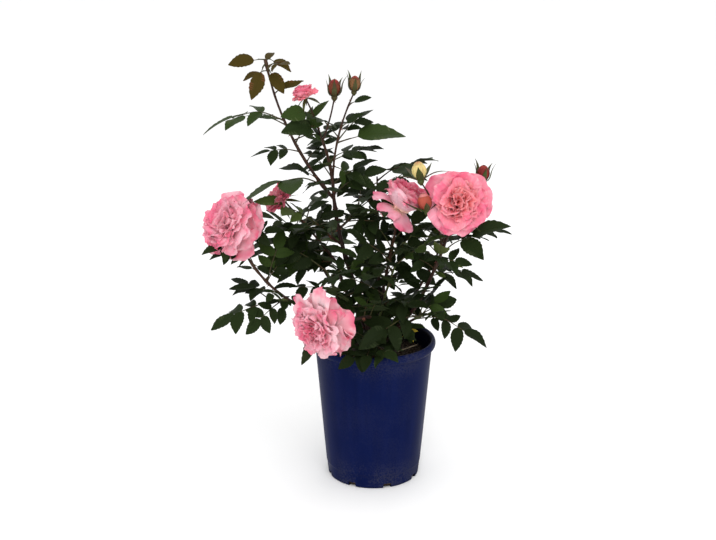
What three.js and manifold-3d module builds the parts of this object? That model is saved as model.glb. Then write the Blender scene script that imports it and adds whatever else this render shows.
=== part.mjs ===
// A pink garden rose growing in a round navy nursery pot.
// Millimetres, +Z up. The origin is the middle of the pot's flat underside,
// and the front of the plant looks along -Y.
//
// The plant is worked out by a seeded rule. Every limb is one curve with a
// heading (degrees about +Z, from +X), a lean from upright, a length, and the
// change of lean and of heading along it. Leaves spring from a shoot at a
// fraction of its length, each with a heading, a rise above level, a size and
// a number of leaflet pairs.

import * as THREE from 'three';
import { mergeVertices } from 'three/addons/utils/BufferGeometryUtils.js';
import Module from 'manifold-3d';

const wasm = await Module();
wasm.setup();

// ---------------------------------------------------------------- pot

const POT_HEIGHT = 233;
const RIM_RADIUS = 100;
const FOOT_RADIUS = 74.5;
const WALL = 2.6;
const FLOOR = 3;
const LIP_HEIGHT = 15;
const LIP_OUT = 5.5;
const HEEL_ROUND = 3;
const POT_SEGMENTS = 24;
const STEP_HEIGHT = 22;
const STEP_OUT = 1;
const NOTCHES = 8;
const NOTCH = { width: 13, height: 9, depth: 16, turn: 17 };
const DRAINS = { count: 4, ring: 40, radius: 6, turn: 45 };
const MIX_TOP = 204;
const GAP = 0.3;

// ---------------------------------------------------------------- plant

const TRUNK_HEAD = 238;
const CANE_STEPS = 6;
const STEM_STEPS = 7;
const SHOOT_STEPS = 4;
const CANE_SIDES = 5;
const STEM_SIDES = 4;
const SHOOT_SIDES = 3;
const CLEAR_SIDES = 4;
const TRUNK = { flare: 17, waist: 11, head: 14, sides: 8, steps: 7, lean: 3 };
const RACHIS_FOOT = 20;
const PAIR_STEP = 24;
const TERMINAL_STEP = 12;
const LEAFLET_LENGTH = 47;
const LEAFLET_ANGLE = 62;
const LEAFLET_WIDEST = 0.42;
const LEAFLET_THICK = 1.1;
const LEAFLET_SAG = 0.14;
const LEAFLET_FOLD = 0.2;
const SEAT = 1.3;
const LEAF_FACING = 24;
const TURN_OF_LEAVES = 144;
const PETAL_THICK = 1.6;
const PETAL_WIDEST = 0.62;
const PETAL_SPAN = [0.04, 1];
const RACHIS_RADIUS = 1.1;
const RACHIS_FLATNESS = 0.75;
const RACHIS_REACH = 1.3 * RACHIS_RADIUS;
const CLEAR = 0.45;
const LEAF_ROOM = 1.08;
const BLOOM_ROOM = 0.85;
const FIRST_SEED = 1009;
const SEED_STEP = 613;

// A limb's curve: [heading, lean, length, change of lean, change of heading].
// foot: where it leaves the trunk's head, from the head's middle.
const CANES = {
  leader_cane: { foot: [-6, 3, 0], curve: [128, 25, 231, -17, 99], radius: [4.4, 2.9] },
  centre_cane: { foot: [6, 3, 0], curve: [30, 19, 80, -23, -20], radius: [3.6, 2.6] },
  left_cane: { foot: [-9, -6, -9], curve: [198, 62, 156, -8, -2], radius: [3.8, 2.5] },
  right_cane: { foot: [10, -4, -6], curve: [-15, 56, 117, -32, -16], radius: [3.8, 2.6] },
  upper_left_cane: { foot: [-9, 8, -7], curve: [111, 50, 132, -40, 88], radius: [3.6, 2.3] },
  front_cane: { foot: [-4, -10, -9], curve: [293, 18, 128, 76, -71], radius: [2.8, 2.0] },
  back_cane: { foot: [2, 10, -3], curve: [75, 32, 150, -10, 20], radius: [3.6, 2.4] },
  back_right_cane: { foot: [9, 7, -11], curve: [40, 57, 120, -20, -10], radius: [3.4, 2.3] },
  back_left_cane: { foot: [-3, 11, -16], curve: [136, 58, 118, -20, 4], radius: [3.4, 2.3] },
  lower_right_cane: { foot: [9, -9, -14], curve: [-25, 42, 80, 15, 0], radius: [2.8, 2.0] },
};

// leaves: [place on the shoot, heading, rise, size, leaflet pairs], and for a leaf
// that hangs its own way [droop, roll].
// shoots: side shoots, each with its own place, curve and leaves.
// bloom: [form, radius, heading it faces, its lean].
// fill: seeded leaves spread over the whole shoot, from a first heading.
const SPRAYS = {
  bronze_spray: {
    on: 'leader_cane', at: 1, curve: [189, 40, 245, -29, -22], radius: [2.6, 1.3], tint: 'bronze',
    leaves: [
      [0.12, 208, 37, 1.6, 1, [52, 8]], [0.15, 200, 48, 1.1, 0], [0.08, 260, 20, 0.7, 1],
      [0.38, 195, 20, 0.7, 2], [0.6, 182, 36, 1.2, 2, [64, -3]], [0.44, 340, 65, 0.76, 2],
      [0.3, 70, 30, 0.7, 2], [0.78, 0, 50, 0.75, 0], [0.98, 235, -34, 0.95, 0, [20, -30]],
      [0.93, 190, 4, 0.62, 0], [0.95, 300, -20, 0.8, 0, [20, 40]],
      [1, 185, 8, 0.85, 0, [20, -52]], [1, 10, 20, 0.66, 0, [60, 44]], [0.97, 90, 40, 0.6, 0],
    ],
  },
  bud_spray: {
    on: 'leader_cane', at: 1, curve: [38, -2, 100, -20, -12], radius: [2.6, 1.8],
    leaves: [
      [0.62, 8, 45, 0.9, 1, [40, 10]], [0.08, 25, 40, 0.85, 2], [0.24, 15, 42, 0.9, 1, [20, 10]],
      [0.5, 250, 40, 0.85, 0],
      [0.55, 20, -10, 0.65, 1], [0.9, 200, 75, 0.8, 0], [0.75, 100, 30, 0.8, 2],
      [0.35, 120, 30, 0.9, 2],
    ],
    shoots: [
      {
        at: 0.97, curve: [197, 16, 73, 10, -7], radius: [1.4, 1.2], bloom: ['half', 21, 200, 20],
        leaves: [[0.3, 245, 26, 1.2, 0, [20, -62]], [0.62, 232, 26, 1.1, 0, [20, -60]]],
      },
      {
        at: 0.97, curve: [-27, 23, 72, -12, 0], radius: [1.4, 1.2], bloom: ['bud', 10, 0, 0],
        leaves: [[0.3, 30, 30, 0.7, 0]],
      },
      {
        at: 0.28, curve: [-73, 8, 150, 16, 75], radius: [1.8, 1.2], bloom: ['bud', 9, 0, 5],
        leaves: [[0.44, 5, 18, 1.65, 0, [6, 30]], [0.6, 350, 55, 0.65, 0], [0.85, 339, 49, 0.6, 0],
          [0.5, 120, 30, 0.6, 1]],
      },
    ],
  },
  leader_left_spray: {
    on: 'leader_cane', at: 0.66, curve: [200, 55, 60, -15, 10], radius: [2.2, 1.4],
    leaves: [[0.5, 205, 20, 1, 2], [0.7, 250, 25, 0.95, 2], [1, 190, 40, 0.95, 2],
      [0.3, 130, 30, 0.9, 2], [0.9, 300, 30, 0.8, 1]],
  },
  leader_right_spray: {
    on: 'leader_cane', at: 0.78, curve: [-20, 50, 50, -20, 10], radius: [2.2, 1.4],
    leaves: [[0.4, -40, 15, 0.9, 2], [0.8, 10, 45, 0.9, 2], [1, 80, 40, 0.9, 2],
      [0.9, -80, 30, 0.8, 1]],
  },
  hidden_bloom_spray: {
    on: 'upper_left_cane', at: 1, curve: [182, 35, 147, 7, 38], radius: [2.2, 1.4],
    bloom: ['open', 33, 200, 50],
    leaves: [
      [0.35, 195, 16, 0.95, 2, [26, -14]], [0.2, 200, 12, 0.95, 2], [0.1, 185, 13, 0.65, 1],
      [0.7, 250, -14, 0.7, 1], [0.8, 210, 38, 0.5, 0], [0.55, 330, 43, 0.8, 1],
      [0.05, 180, 3, 0.91, 2], [0.6, 84, 28, 1.1, 2],
    ],
  },
  left_bloom_spray: {
    on: 'left_cane', at: 1, curve: [195, 52, 148, -35, -27], radius: [2.2, 1.7],
    bloom: ['full', 51, 222, 62],
    leaves: [
      [0.1, 185, 23, 0.9, 1], [0.3, 30, 58, 0.65, 1], [0.45, 190, 43, 0.5, 0], [0.55, 330, -6, 0.5, 0],
      [0.8, 205, 10, 0.72, 1], [0.85, 230, 12, 0.9, 0], [0.3, 60, 62, 0.8, 2], [0.75, 41, 60, 0.5, 1],
      [0.5, 110, 25, 0.9, 2],
    ],
  },
  lower_left_spray: {
    on: 'left_cane', at: 1, curve: [190, 92, 26, 0, 0], radius: [2.2, 1.8],
    leaves: [[0.8, 185, -11, 0.98, 2], [0.3, 215, -23, 0.7, 2], [0.25, 250, -60, 0.6, 0],
      [1, 150, 30, 0.75, 2]],
  },
  front_bloom_spray: {
    on: 'front_cane', at: 1, curve: [210, 84, 56, 10, 0], radius: [2.0, 1.8],
    bloom: ['full', 49, 225, 104],
    leaves: [[0.2, 190, -15, 0.7, 1], [0.8, 180, -52, 1.15, 0, [4, 30]]],
  },
  centre_bloom_spray: {
    on: 'centre_cane', at: 1, curve: [-44, 15.5, 137, -5, 9], radius: [2.3, 1.7],
    bloom: ['cup', 39, -15, 30],
    leaves: [
      [0.1, 350, 66, 0.8, 1], [0.35, 0, 58, 0.8, 2], [0.5, 170, 66, 0.9, 2], [0.06, 320, 45, 0.7, 1],
      [0.7, 200, 80, 0.8, 0], [0.6, 20, 49, 0.9, 1], [0.2, 190, 40, 0.8, 2], [0.3, 260, 20, 0.85, 2],
      [0.45, 90, 30, 0.9, 2],
    ],
  },
  right_bloom_spray: {
    on: 'right_cane', at: 1, curve: [-11, 24.5, 151, -11, 19], radius: [2.4, 1.8],
    bloom: ['full', 54, 272, 68],
    leaves: [
      [0.44, 2, 50, 1.3, 1, [36, 22]], [0.35, 350, 22, 0.62, 1], [0.36, 285, 66, 1.1, 0],
      [0.38, 190, 46, 0.6, 1], [0.27, 180, 45, 0.65, 1], [0.27, 320, 30, 0.5, 0],
      [0.08, 200, 38, 0.5, 0], [0.55, 190, 58, 0.7, 0], [0.14, 62, 36, 0.65, 1],
      [0.5, 90, 35, 0.9, 2], [0.62, 60, 30, 0.8, 2],
    ],
    shoots: [
      {
        at: 0.54, curve: [203, 6, 111, 29, -21], radius: [1.5, 1.2], bloom: ['bud', 11, 140, 12],
        leaves: [[0.75, 20, 40, 0.4, 0]],
      },
      { at: 0.45, curve: [259, 1, 77, 43, -65], radius: [1.5, 1.2], bloom: ['bud', 11, 150, 20] },
      { at: 0.63, curve: [50, 45, 102, -16, -60], radius: [1.5, 1.2], bloom: ['bud', 10, 0, 5] },
    ],
  },
  lower_right_spray: {
    on: 'lower_right_cane', at: 1, curve: [-12, 58, 26, 20, 0], radius: [1.9, 1.6],
    leaves: [[0.02, 345, 24, 0.92, 3, [64, 24]], [0.4, 10, 55, 0.7, 1], [0.3, 349, 80, 0.9, 1],
      [0.5, 215, 14, 1.15, 2], [0.2, 120, 40, 0.7, 2], [0.1, 20, 34, 0.9, 1, [30, 30]]],
  },
  skirt_spray: {
    on: 'trunk', at: [-4, -13, -16], curve: [268, 50, 62, 40, 0], radius: [2.0, 1.5],
    leaves: [[0.9, 297, 15, 0.76, 2], [1, 240, 10, 0.7, 2], [0.86, 268, 8, 0.72, 2],
      [0.5, 330, 30, 0.8, 2], [0.6, 210, 30, 0.7, 2]],
  },
  core_spray: {
    on: 'trunk', at: [4, -6, 1], curve: [300, 15, 130, 6, 30], radius: [2.2, 1.4],
    leaves: [[0.22, 20, 30, 0.85, 2], [0.34, 200, 25, 0.9, 2], [0.46, 320, 25, 0.9, 2],
      [0.58, 175, 35, 1, 2], [0.7, 15, 35, 0.95, 2], [0.8, 255, 30, 0.95, 2],
      [0.9, 110, 35, 0.85, 2], [1, 195, 50, 0.95, 2], [1, 340, 50, 0.85, 2]],
  },
  left_core_spray: {
    on: 'left_cane', at: 0.3, curve: [170, 8, 100, 14, 20], radius: [2.1, 1.4],
    leaves: [[0.3, 240, 20, 0.85, 2], [0.5, 10, 30, 0.85, 2], [0.65, 190, 25, 0.9, 2],
      [0.85, 280, 30, 0.95, 2], [1, 170, 40, 0.95, 2]],
  },
  back_spray: {
    on: 'back_cane', at: 1, curve: [95, 12, 110, -10, 20], radius: [2.2, 1.4],
    fill: { count: 8, size: 1, heading: 30 }, facing: -1,
  },
  back_right_spray: {
    on: 'back_right_cane', at: 1, curve: [40, 44, 92, -5, 20], radius: [2.1, 1.4],
    fill: { count: 6, size: 1.08, heading: 0 }, facing: -1,
  },
  back_left_spray: {
    on: 'back_left_cane', at: 1, curve: [134, 46, 95, -5, 10], radius: [2.1, 1.4],
    fill: { count: 6, size: 1.08, heading: 140 }, facing: -1,
  },
};

// A bloom's section, in radii: [out from its axis, height, depth of the lobes
// between petals]. loose: petals that have dropped open, each [turn, lean at the
// claw, lean at the lip, length, half width].
const BLOOM_FORMS = {
  full: {
    lobes: 6,
    section: [[0, 0, 0], [0.5, 0.08, 0], [0.97, 0.34, 0.07], [0.94, 0.42, 0.07], [0.74, 0.36, 0],
      [0.66, 0.58, 0.05], [0.34, 0.72, 0], [0, 0.68, 0]],
    loose: [],
  },
  open: {
    lobes: 5,
    section: [[0, 0, 0], [0.5, 0.14, 0], [0.95, 0.52, 0.07], [0.9, 0.58, 0.07], [0.68, 0.5, 0],
      [0.6, 0.74, 0.05], [0.3, 0.86, 0], [0, 0.82, 0]],
    loose: [],
  },
  cup: {
    lobes: 5,
    section: [[0, 0, 0], [0.5, 0.16, 0], [0.78, 0.6, 0.06], [0.84, 1.12, 0.12], [0.78, 1.14, 0.12],
      [0.56, 0.96, 0], [0.24, 1.12, 0], [0, 1.06, 0]],
    loose: [[228, 118, 134, 1.2, 0.42], [150, 100, 122, 1.0, 0.38]],
  },
  half: {
    lobes: 5,
    section: [[0, 0, 0], [0.5, 0.18, 0], [0.8, 0.62, 0.08], [0.84, 1.0, 0.14], [0.76, 1.02, 0.14],
      [0.5, 0.9, 0], [0.2, 1.1, 0], [0, 1.04, 0]],
    loose: [],
  },
};
const SEPALS = { count: 3, length: 2.2, width: 0.16, lean: 30 };
const COLOURS = {
  pot: 0x1c2054, mix: 0x2b211b, bark: 0x4a2a26, leaf: 0x2c4a28, bronze: 0x6b5a2c,
};

// ---------------------------------------------------------------- seeded rule

/** The seeded draws of one spray. */
class Dice {
  constructor(seed) { this.state = seed; }

  between(low, high) {
    this.state = (this.state * 16807) % 2147483647;
    return low + (high - low) * this.state / 2147483647;
  }
}

const UP = new THREE.Vector3(0, 0, 1);
const vector = (x, y, z) => new THREE.Vector3(x, y, z);
const radians = THREE.MathUtils.degToRad;
const mix = THREE.MathUtils.lerp;

/** Unit vector with a heading about +Z and a lean from upright. */
function direction(heading, lean) {
  const a = radians(heading);
  const l = radians(lean);
  return vector(Math.sin(l) * Math.cos(a), Math.sin(l) * Math.sin(a), Math.cos(l));
}

/** Points of a limb whose heading and lean change evenly along it. */
function grow(start, curve, steps) {
  const [heading, lean, length, bend, swing] = curve;
  const points = [start.clone()];
  for (let i = 0; i < steps; i += 1) {
    const s = (i + 0.5) / steps;
    const step = direction(heading + swing * s, lean + bend * s).multiplyScalar(length / steps);
    points.push(points[i].clone().add(step));
  }
  return points;
}

/** The point at a fraction of a limb's points. */
function along(points, at) {
  const place = at * (points.length - 1);
  const i = Math.min(Math.floor(place), points.length - 2);
  return points[i].clone().lerp(points[i + 1], place - i);
}

/** The limb's direction around a fraction of its points. */
function heading(points, at) {
  const after = along(points, Math.min(at + 0.05, 1));
  return after.sub(along(points, Math.max(at - 0.05, 0))).normalize();
}

/** The level direction square to a limb, on its left. */
function sideOf(tangent) {
  const side = UP.clone().cross(tangent);
  return side.length() < 1e-3 ? vector(0, 1, 0) : side.normalize();
}

// ---------------------------------------------------------------- solids

/** A closed geometry as a solid, with its shared points merged. */
function solid(geometry) {
  geometry.deleteAttribute('normal');
  geometry.deleteAttribute('uv');
  const merged = mergeVertices(geometry, 1e-4);
  const corners = merged.index.array;
  const faces = [];
  for (let i = 0; i < corners.length; i += 3) {
    const [a, b, c] = corners.slice(i, i + 3);
    if (a !== b && b !== c && c !== a) faces.push(a, b, c);
  }
  return new wasm.Manifold(new wasm.Mesh({
    numProp: 3,
    vertProperties: new Float32Array(merged.attributes.position.array),
    triVerts: new Uint32Array(faces),
  }));
}

/** Moves every point of a geometry by a function of its place. */
function shape(geometry, place) {
  const points = geometry.attributes.position;
  for (let i = 0; i < points.count; i += 1) {
    const to = place(points.getX(i), points.getY(i), points.getZ(i));
    points.setXYZ(i, to.x, to.y, to.z);
  }
  return solid(geometry);
}

/** A limb: a cylinder of a few sides laid along its points, tapering evenly. */
function limb(points, foot, tip, sides) {
  const steps = points.length - 1;
  const frames = [];
  let side = sideOf(points[1].clone().sub(points[0]).normalize());
  for (let i = 0; i <= steps; i += 1) {
    const before = points[Math.max(i - 1, 0)];
    const tangent = points[Math.min(i + 1, steps)].clone().sub(before).normalize();
    side = side.clone().addScaledVector(tangent, -side.dot(tangent)).normalize();
    frames.push([side, side.clone().cross(tangent)]);
  }
  return shape(new THREE.CylinderGeometry(1, 1, steps, sides, steps), (x, y, z) => {
    const i = Math.round(y + steps / 2);
    const radius = mix(foot, tip, i / steps);
    const [u, w] = frames[i];
    return points[i].clone().addScaledVector(u, x * radius).addScaledVector(w, z * radius);
  });
}

/** A leaflet: a thin kite of six faces, folded along its rib, with its roof on the rib. */
function blade(leaf, thick = LEAFLET_THICK, spread = 1) {
  const across = leaf.normal.clone().cross(leaf.along);
  const half = leaf.length * leaf.width * spread;
  const sag = LEAFLET_SAG * leaf.length;
  return shape(new THREE.ConeGeometry(1, 1, 4), (x, y, z) => {
    const ends = Math.abs(z) > 0.5;
    const s = ends ? 0.5 + 0.5 * z * spread : LEAFLET_WIDEST;
    const roof = y > 0 ? thick - sag * s * s : -sag * s;
    const lift = Math.abs(x) > 0.5 ? LEAFLET_FOLD * half - sag * s * s : roof;
    return leaf.root.clone()
      .addScaledVector(leaf.along, leaf.length * s)
      .addScaledVector(across, half * x)
      .addScaledVector(leaf.normal, ends ? -sag * Math.max(s, 0) : lift);
  });
}

/** A petal: a thin lens of twelve faces, cupped round the bloom's axis. */
function petal(bloom, [turn, claw, lip, length, half]) {
  const reach = bloom.radius * length;
  return shape(new THREE.SphereGeometry(1, 6, 2), (x, y, z) => {
    const s = Math.abs(y) > 0.5 ? PETAL_WIDEST : mix(...PETAL_SPAN, (1 - x) / 2);
    const v = Math.abs(y) > 0.5 ? 0 : z;
    const lean = radians(mix(claw, lip, s * 0.5));
    const thick = y * PETAL_THICK * 0.5;
    const out = Math.sin(lean) * reach * s - Math.cos(lean) * thick;
    const high = Math.cos(lean) * reach * s + Math.sin(lean) * thick;
    const round = v * half * bloom.radius / Math.max(out, bloom.radius * 0.5);
    const angle = radians(turn) + round;
    return bloom.base.clone()
      .addScaledVector(bloom.axis, high + PETAL_THICK)
      .addScaledVector(bloom.u, Math.cos(angle) * out)
      .addScaledVector(bloom.w, Math.sin(angle) * out);
  });
}

/** A lathe form standing on a bloom's axis. */
function onAxis(bloom, profile, segments) {
  const lathe = new THREE.LatheGeometry(profile.map(([r, h]) => new THREE.Vector2(r, h)), segments);
  return shape(lathe, (x, y, z) => bloom.base.clone()
    .addScaledVector(bloom.axis, y)
    .addScaledVector(bloom.u, x)
    .addScaledVector(bloom.w, -z));
}

// ---------------------------------------------------------------- parts of the plant

/** A compound leaf's rachis and leaflets, from its row of named values. */
function compoundLeaf(shoot, row, facing, dice) {
  const [at, toward, rise, size, pairs, held] = row;
  const drawn = [
    dice.between(15, 35),
    facing * LEAF_FACING * Math.cos(radians(toward)) + dice.between(-26, 26),
  ];
  const [droop, roll] = held ?? drawn;
  const swing = dice.between(-16, 16);
  const length = size * (RACHIS_FOOT + PAIR_STEP * pairs);
  const rachis = grow(along(shoot, at), [toward, 90 - rise, length, droop, swing], 2);
  const leaflets = [];
  const add = (place, side, scale, drop) => {
    const tangent = heading(rachis, place);
    const level = sideOf(tangent).applyAxisAngle(tangent, radians(roll));
    const face = tangent.clone().cross(level);
    const out = tangent.clone().multiplyScalar(Math.cos(side * radians(LEAFLET_ANGLE)))
      .addScaledVector(level, Math.sin(side * radians(LEAFLET_ANGLE)));
    const dip = radians(drop);
    leaflets.push({
      place,
      side,
      root: along(rachis, place),
      along: out.clone().multiplyScalar(Math.cos(dip)).addScaledVector(face, -Math.sin(dip)),
      normal: face.clone().multiplyScalar(Math.cos(dip)).addScaledVector(out, Math.sin(dip)),
      length: scale * size * LEAFLET_LENGTH,
      width: dice.between(0.25, 0.28),
    });
  };
  add(1, 0, 1, dice.between(-4, 14));
  for (let pair = 0; pair < pairs; pair += 1) {
    const place = 1 - (TERMINAL_STEP + pair * PAIR_STEP) * size / length;
    for (const side of [1, -1]) {
      add(place, side, 0.9 - 0.17 * pair + dice.between(-0.05, 0.05), dice.between(-8, 22));
    }
  }
  return { rachis, length, roll: radians(roll), leaflets };
}

/** The points of one leaflet: left and right corners, rib, keel and tip. */
function leafletPoints(leaf) {
  const across = leaf.normal.clone().cross(leaf.along);
  const half = leaf.length * leaf.width;
  const at = (place, sideways, lift) => leaf.root.clone()
    .addScaledVector(leaf.along, leaf.length * place)
    .addScaledVector(across, sideways)
    .addScaledVector(leaf.normal, lift - LEAFLET_SAG * leaf.length * place * place);
  return [
    at(LEAFLET_WIDEST, half, LEAFLET_FOLD * half),
    at(LEAFLET_WIDEST, -half, LEAFLET_FOLD * half),
    at(LEAFLET_WIDEST, 0, LEAFLET_THICK / 2),
    at(LEAFLET_WIDEST, 0, -LEAFLET_THICK / 2),
    at(1, 0, 0),
  ];
}

/**
 * One compound leaf as a closed body: a rachis of four sides, whose left or
 * right side opens between two stations into a side leaflet and whose end
 * opens into the last one. A leaflet is a thin kite of points fanned round
 * its rib above and its keel below.
 */
function leafSolid({ rachis, length, roll, leaflets }) {
  const points = [];
  const faces = [];
  const put = (point) => points.push(point.x, point.y, point.z) / 3 - 1;
  const quad = (a, b, c, d) => faces.push(a, b, c, a, c, d);
  const fan = (middle, ring) => ring.forEach((corner, i) => (
    faces.push(corner, ring[(i + 1) % ring.length], middle)));
  const openInto = (leaf, [topLeft, topRight, lowRight, lowLeft]) => {
    const [left, right, rib, keel, tip] = leafletPoints(leaf).map(put);
    fan(rib, [topLeft, topRight, right, tip, left]);
    fan(keel, [left, tip, right, lowRight, lowLeft]);
    faces.push(topRight, lowRight, right, lowLeft, topLeft, left);
  };
  const seats = leaflets.filter((leaf) => leaf.side).flatMap(({ place }) => (
    [place - SEAT / length, place + SEAT / length]));
  if (!seats.some((place) => Math.abs(place - 0.5) < 0.06)) seats.push(0.5);
  const places = [0, ...new Set(seats.sort((a, b) => a - b)), 1];
  const rings = places.map((place) => {
    const tangent = heading(rachis, place);
    const level = sideOf(tangent).applyAxisAngle(tangent, roll);
    const raised = tangent.clone().cross(level);
    return [[1, 1], [1, -1], [-1, -1], [-1, 1]].map(([across, up]) => put(along(rachis, place)
      .addScaledVector(level, across * RACHIS_RADIUS)
      .addScaledVector(raised, up * RACHIS_RADIUS * RACHIS_FLATNESS)));
  });
  rings.slice(1).forEach((next, i) => {
    const here = rings[i];
    const open = (side) => leaflets.find((leaf) => (
      leaf.side === side && places[i] < leaf.place && leaf.place < places[i + 1]));
    const sides = [0, 1, 2, 3].map((k) => [here[k], next[k], next[(k + 1) % 4], here[(k + 1) % 4]]);
    quad(...sides[1]);
    quad(...sides[3]);
    if (open(1)) openInto(open(1), sides[0]);
    else quad(...sides[0]);
    if (open(-1)) openInto(open(-1), [next[3], here[3], here[2], next[2]]);
    else quad(...sides[2]);
  });
  quad(...rings[0]);
  const last = rings.at(-1);
  const end = leaflets.find((leaf) => !leaf.side);
  if (end) openInto(end, [last[0], last[3], last[2], last[1]]);
  else quad(...last.toReversed());
  const geometry = new THREE.BufferGeometry();
  geometry.setAttribute('position', new THREE.Float32BufferAttribute(points, 3));
  geometry.setIndex(faces);
  return solid(geometry);
}

/** A bloom's frame: its base, its axis and two directions square to it. */
function bloomFrame(tip, [form, radius, toward, lean]) {
  const axis = direction(toward, lean);
  const u = sideOf(axis);
  const base = tip.clone().addScaledVector(axis, -1);
  const middle = tip.clone().addScaledVector(axis, radius * 0.45);
  return { form, radius, base, axis, middle, u, w: axis.clone().cross(u) };
}

/** A bud: an egg with a pointed tip over a round hip, held by its sepals. */
function bud(bloom) {
  const r = bloom.radius;
  const egg = onAxis(bloom, [
    [0, -0.1 * r], [0.55 * r, 0.4 * r], [0.5 * r, 0.8 * r], [0.95 * r, 1.4 * r],
    [0.75 * r, 2.2 * r], [0, 2.85 * r],
  ], 6);
  return [egg, ...sepals(bloom, 0.75 * r)];
}

/** The calyx: narrow leaves spreading from under the petals. */
function sepals(bloom, height) {
  return Array.from({ length: SEPALS.count }, (unused, i) => {
    const turn = 2 * Math.PI * (i + 0.5) / SEPALS.count;
    const out = bloom.u.clone().multiplyScalar(Math.cos(turn))
      .addScaledVector(bloom.w, Math.sin(turn));
    const lean = radians(SEPALS.lean + (bloom.form === 'bud' ? 0 : 75));
    const root = bloom.base.clone().addScaledVector(bloom.axis, height);
    return blade({
      root,
      along: out.clone().multiplyScalar(Math.sin(lean)).addScaledVector(bloom.axis, Math.cos(lean)),
      normal: bloom.axis.clone().multiplyScalar(Math.sin(lean)).addScaledVector(out, -Math.cos(lean)),
      length: SEPALS.length * (bloom.form === 'bud' ? bloom.radius : 12),
      width: SEPALS.width,
    });
  });
}

/** An opened rose: its heart and whorl of petals in one lobed form, with any petals that hang. */
function openBloom(bloom) {
  const { lobes, section, loose } = BLOOM_FORMS[bloom.form];
  const profile = section.map(([out, high], i) => new THREE.Vector2(out, high + i));
  const lathe = new THREE.LatheGeometry(profile, 2 * lobes);
  const steps = section.length;
  let at = -1;
  const rose = shape(lathe, (x, y, z) => {
    at += 1;
    const [out, high, depth] = section[at % steps];
    const turn = 2 * Math.PI * (Math.floor(at / steps) % (2 * lobes)) / (2 * lobes);
    const reach = out * bloom.radius * (1 - depth * (0.5 - 0.5 * Math.cos(lobes * turn)));
    return bloom.base.clone()
      .addScaledVector(bloom.axis, high * bloom.radius)
      .addScaledVector(bloom.u, Math.sin(turn) * reach)
      .addScaledVector(bloom.w, -Math.cos(turn) * reach);
  });
  return [rose, ...loose.map((row) => petal(bloom, row))];
}

/** Every shoot of a spray with its leaf rows: the stem first, then its side shoots. */
function shootsOf(spray, start) {
  const stem = grow(start, spray.curve, STEM_STEPS);
  const side = (spray.shoots ?? []).map((row) => ({
    ...row, points: grow(along(stem, row.at), row.curve, SHOOT_STEPS),
  }));
  return [{ ...spray, points: stem }, ...side];
}

/** The rows of a spray's seeded leaves: a spiral up the shoot. */
function fillRows({ count, size, heading: first }, dice) {
  return Array.from({ length: count }, (unused, i) => [
    (i + 0.5) / count, first + TURN_OF_LEAVES * i + dice.between(-20, 20), dice.between(20, 50),
    size * dice.between(0.85, 1.1), 2,
  ]);
}

// ---------------------------------------------------------------- the whole object

const boxesMeet = (a, b) => [0, 1, 2].every((i) => a.min[i] <= b.max[i] && b.min[i] <= a.max[i]);

/** True where a solid comes into any of the others. */
function touches(piece, others) {
  const box = piece.boundingBox();
  return others.some((other) => boxesMeet(box, other.box)
    && !piece.intersect(other.solid).isEmpty());
}

const boxed = (piece) => ({ solid: piece, box: piece.boundingBox() });
const fuse = (pieces) => wasm.Manifold.union(pieces);

/** The one main body of a fused solid, without scraps or sealed hollows. */
function mainBody(piece) {
  const bodies = piece.decompose();
  return bodies.reduce((best, body) => (body.volume() > best.volume() ? body : best));
}

/** The pot's wall at a height: its radius outside. */
const wallRadius = (height) => mix(FOOT_RADIUS, RIM_RADIUS - LIP_OUT, height / POT_HEIGHT);

/** The pot: one moulded wall with a rolled lip, a step near its foot, and drain holes. */
function potSolid() {
  const lip = POT_HEIGHT - LIP_HEIGHT;
  const inner = (height) => wallRadius(height) - WALL;
  const roll = [100, 60, 20, -30].map((degrees) => {
    const a = radians(degrees);
    const half = LIP_HEIGHT * 0.42;
    return [RIM_RADIUS - 4 + 4 * Math.cos(a), POT_HEIGHT - half + half * Math.sin(a)];
  });
  const profile = [
    [0, 0], [FOOT_RADIUS - HEEL_ROUND, 0], [FOOT_RADIUS - 0.8, 0.9], [FOOT_RADIUS, HEEL_ROUND],
    [wallRadius(STEP_HEIGHT), STEP_HEIGHT], [wallRadius(STEP_HEIGHT) + STEP_OUT, STEP_HEIGHT + 2],
    [wallRadius(lip) + STEP_OUT, lip], ...roll.reverse(),
    [inner(POT_HEIGHT) + 0.8, POT_HEIGHT - 2], [inner(lip), lip - 2], [inner(FLOOR), FLOOR], [0, FLOOR],
  ];
  const lathe = new THREE.LatheGeometry(profile.map(([r, h]) => new THREE.Vector2(r, h)), POT_SEGMENTS);
  const body = solid(lathe.rotateX(Math.PI / 2));
  const cuts = [];
  for (let i = 0; i < NOTCHES; i += 1) {
    const box = new THREE.BoxGeometry(NOTCH.depth, NOTCH.width, NOTCH.height);
    box.translate(FOOT_RADIUS, 0, NOTCH.height / 2 - 1);
    cuts.push(solid(box.rotateZ(radians(NOTCH.turn + 360 * i / NOTCHES))));
  }
  for (let i = 0; i < DRAINS.count; i += 1) {
    const drill = new THREE.CylinderGeometry(DRAINS.radius, DRAINS.radius, 4 * FLOOR, 10);
    drill.rotateX(Math.PI / 2).translate(DRAINS.ring, 0, 0);
    cuts.push(solid(drill.rotateZ(radians(DRAINS.turn + 360 * i / DRAINS.count))));
  }
  return body.subtract(fuse(cuts));
}

/** The potting mix: a plug that fills the pot to just under its lip. */
function mixSolid() {
  const foot = FLOOR + GAP;
  const clear = WALL + 2 * GAP;
  const lathe = new THREE.LatheGeometry([
    [0, foot], [wallRadius(foot) - clear, foot], [wallRadius(MIX_TOP) - clear, MIX_TOP], [0, MIX_TOP],
  ].map(([r, h]) => new THREE.Vector2(r, h)), POT_SEGMENTS);
  return solid(lathe.rotateX(Math.PI / 2));
}

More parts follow.
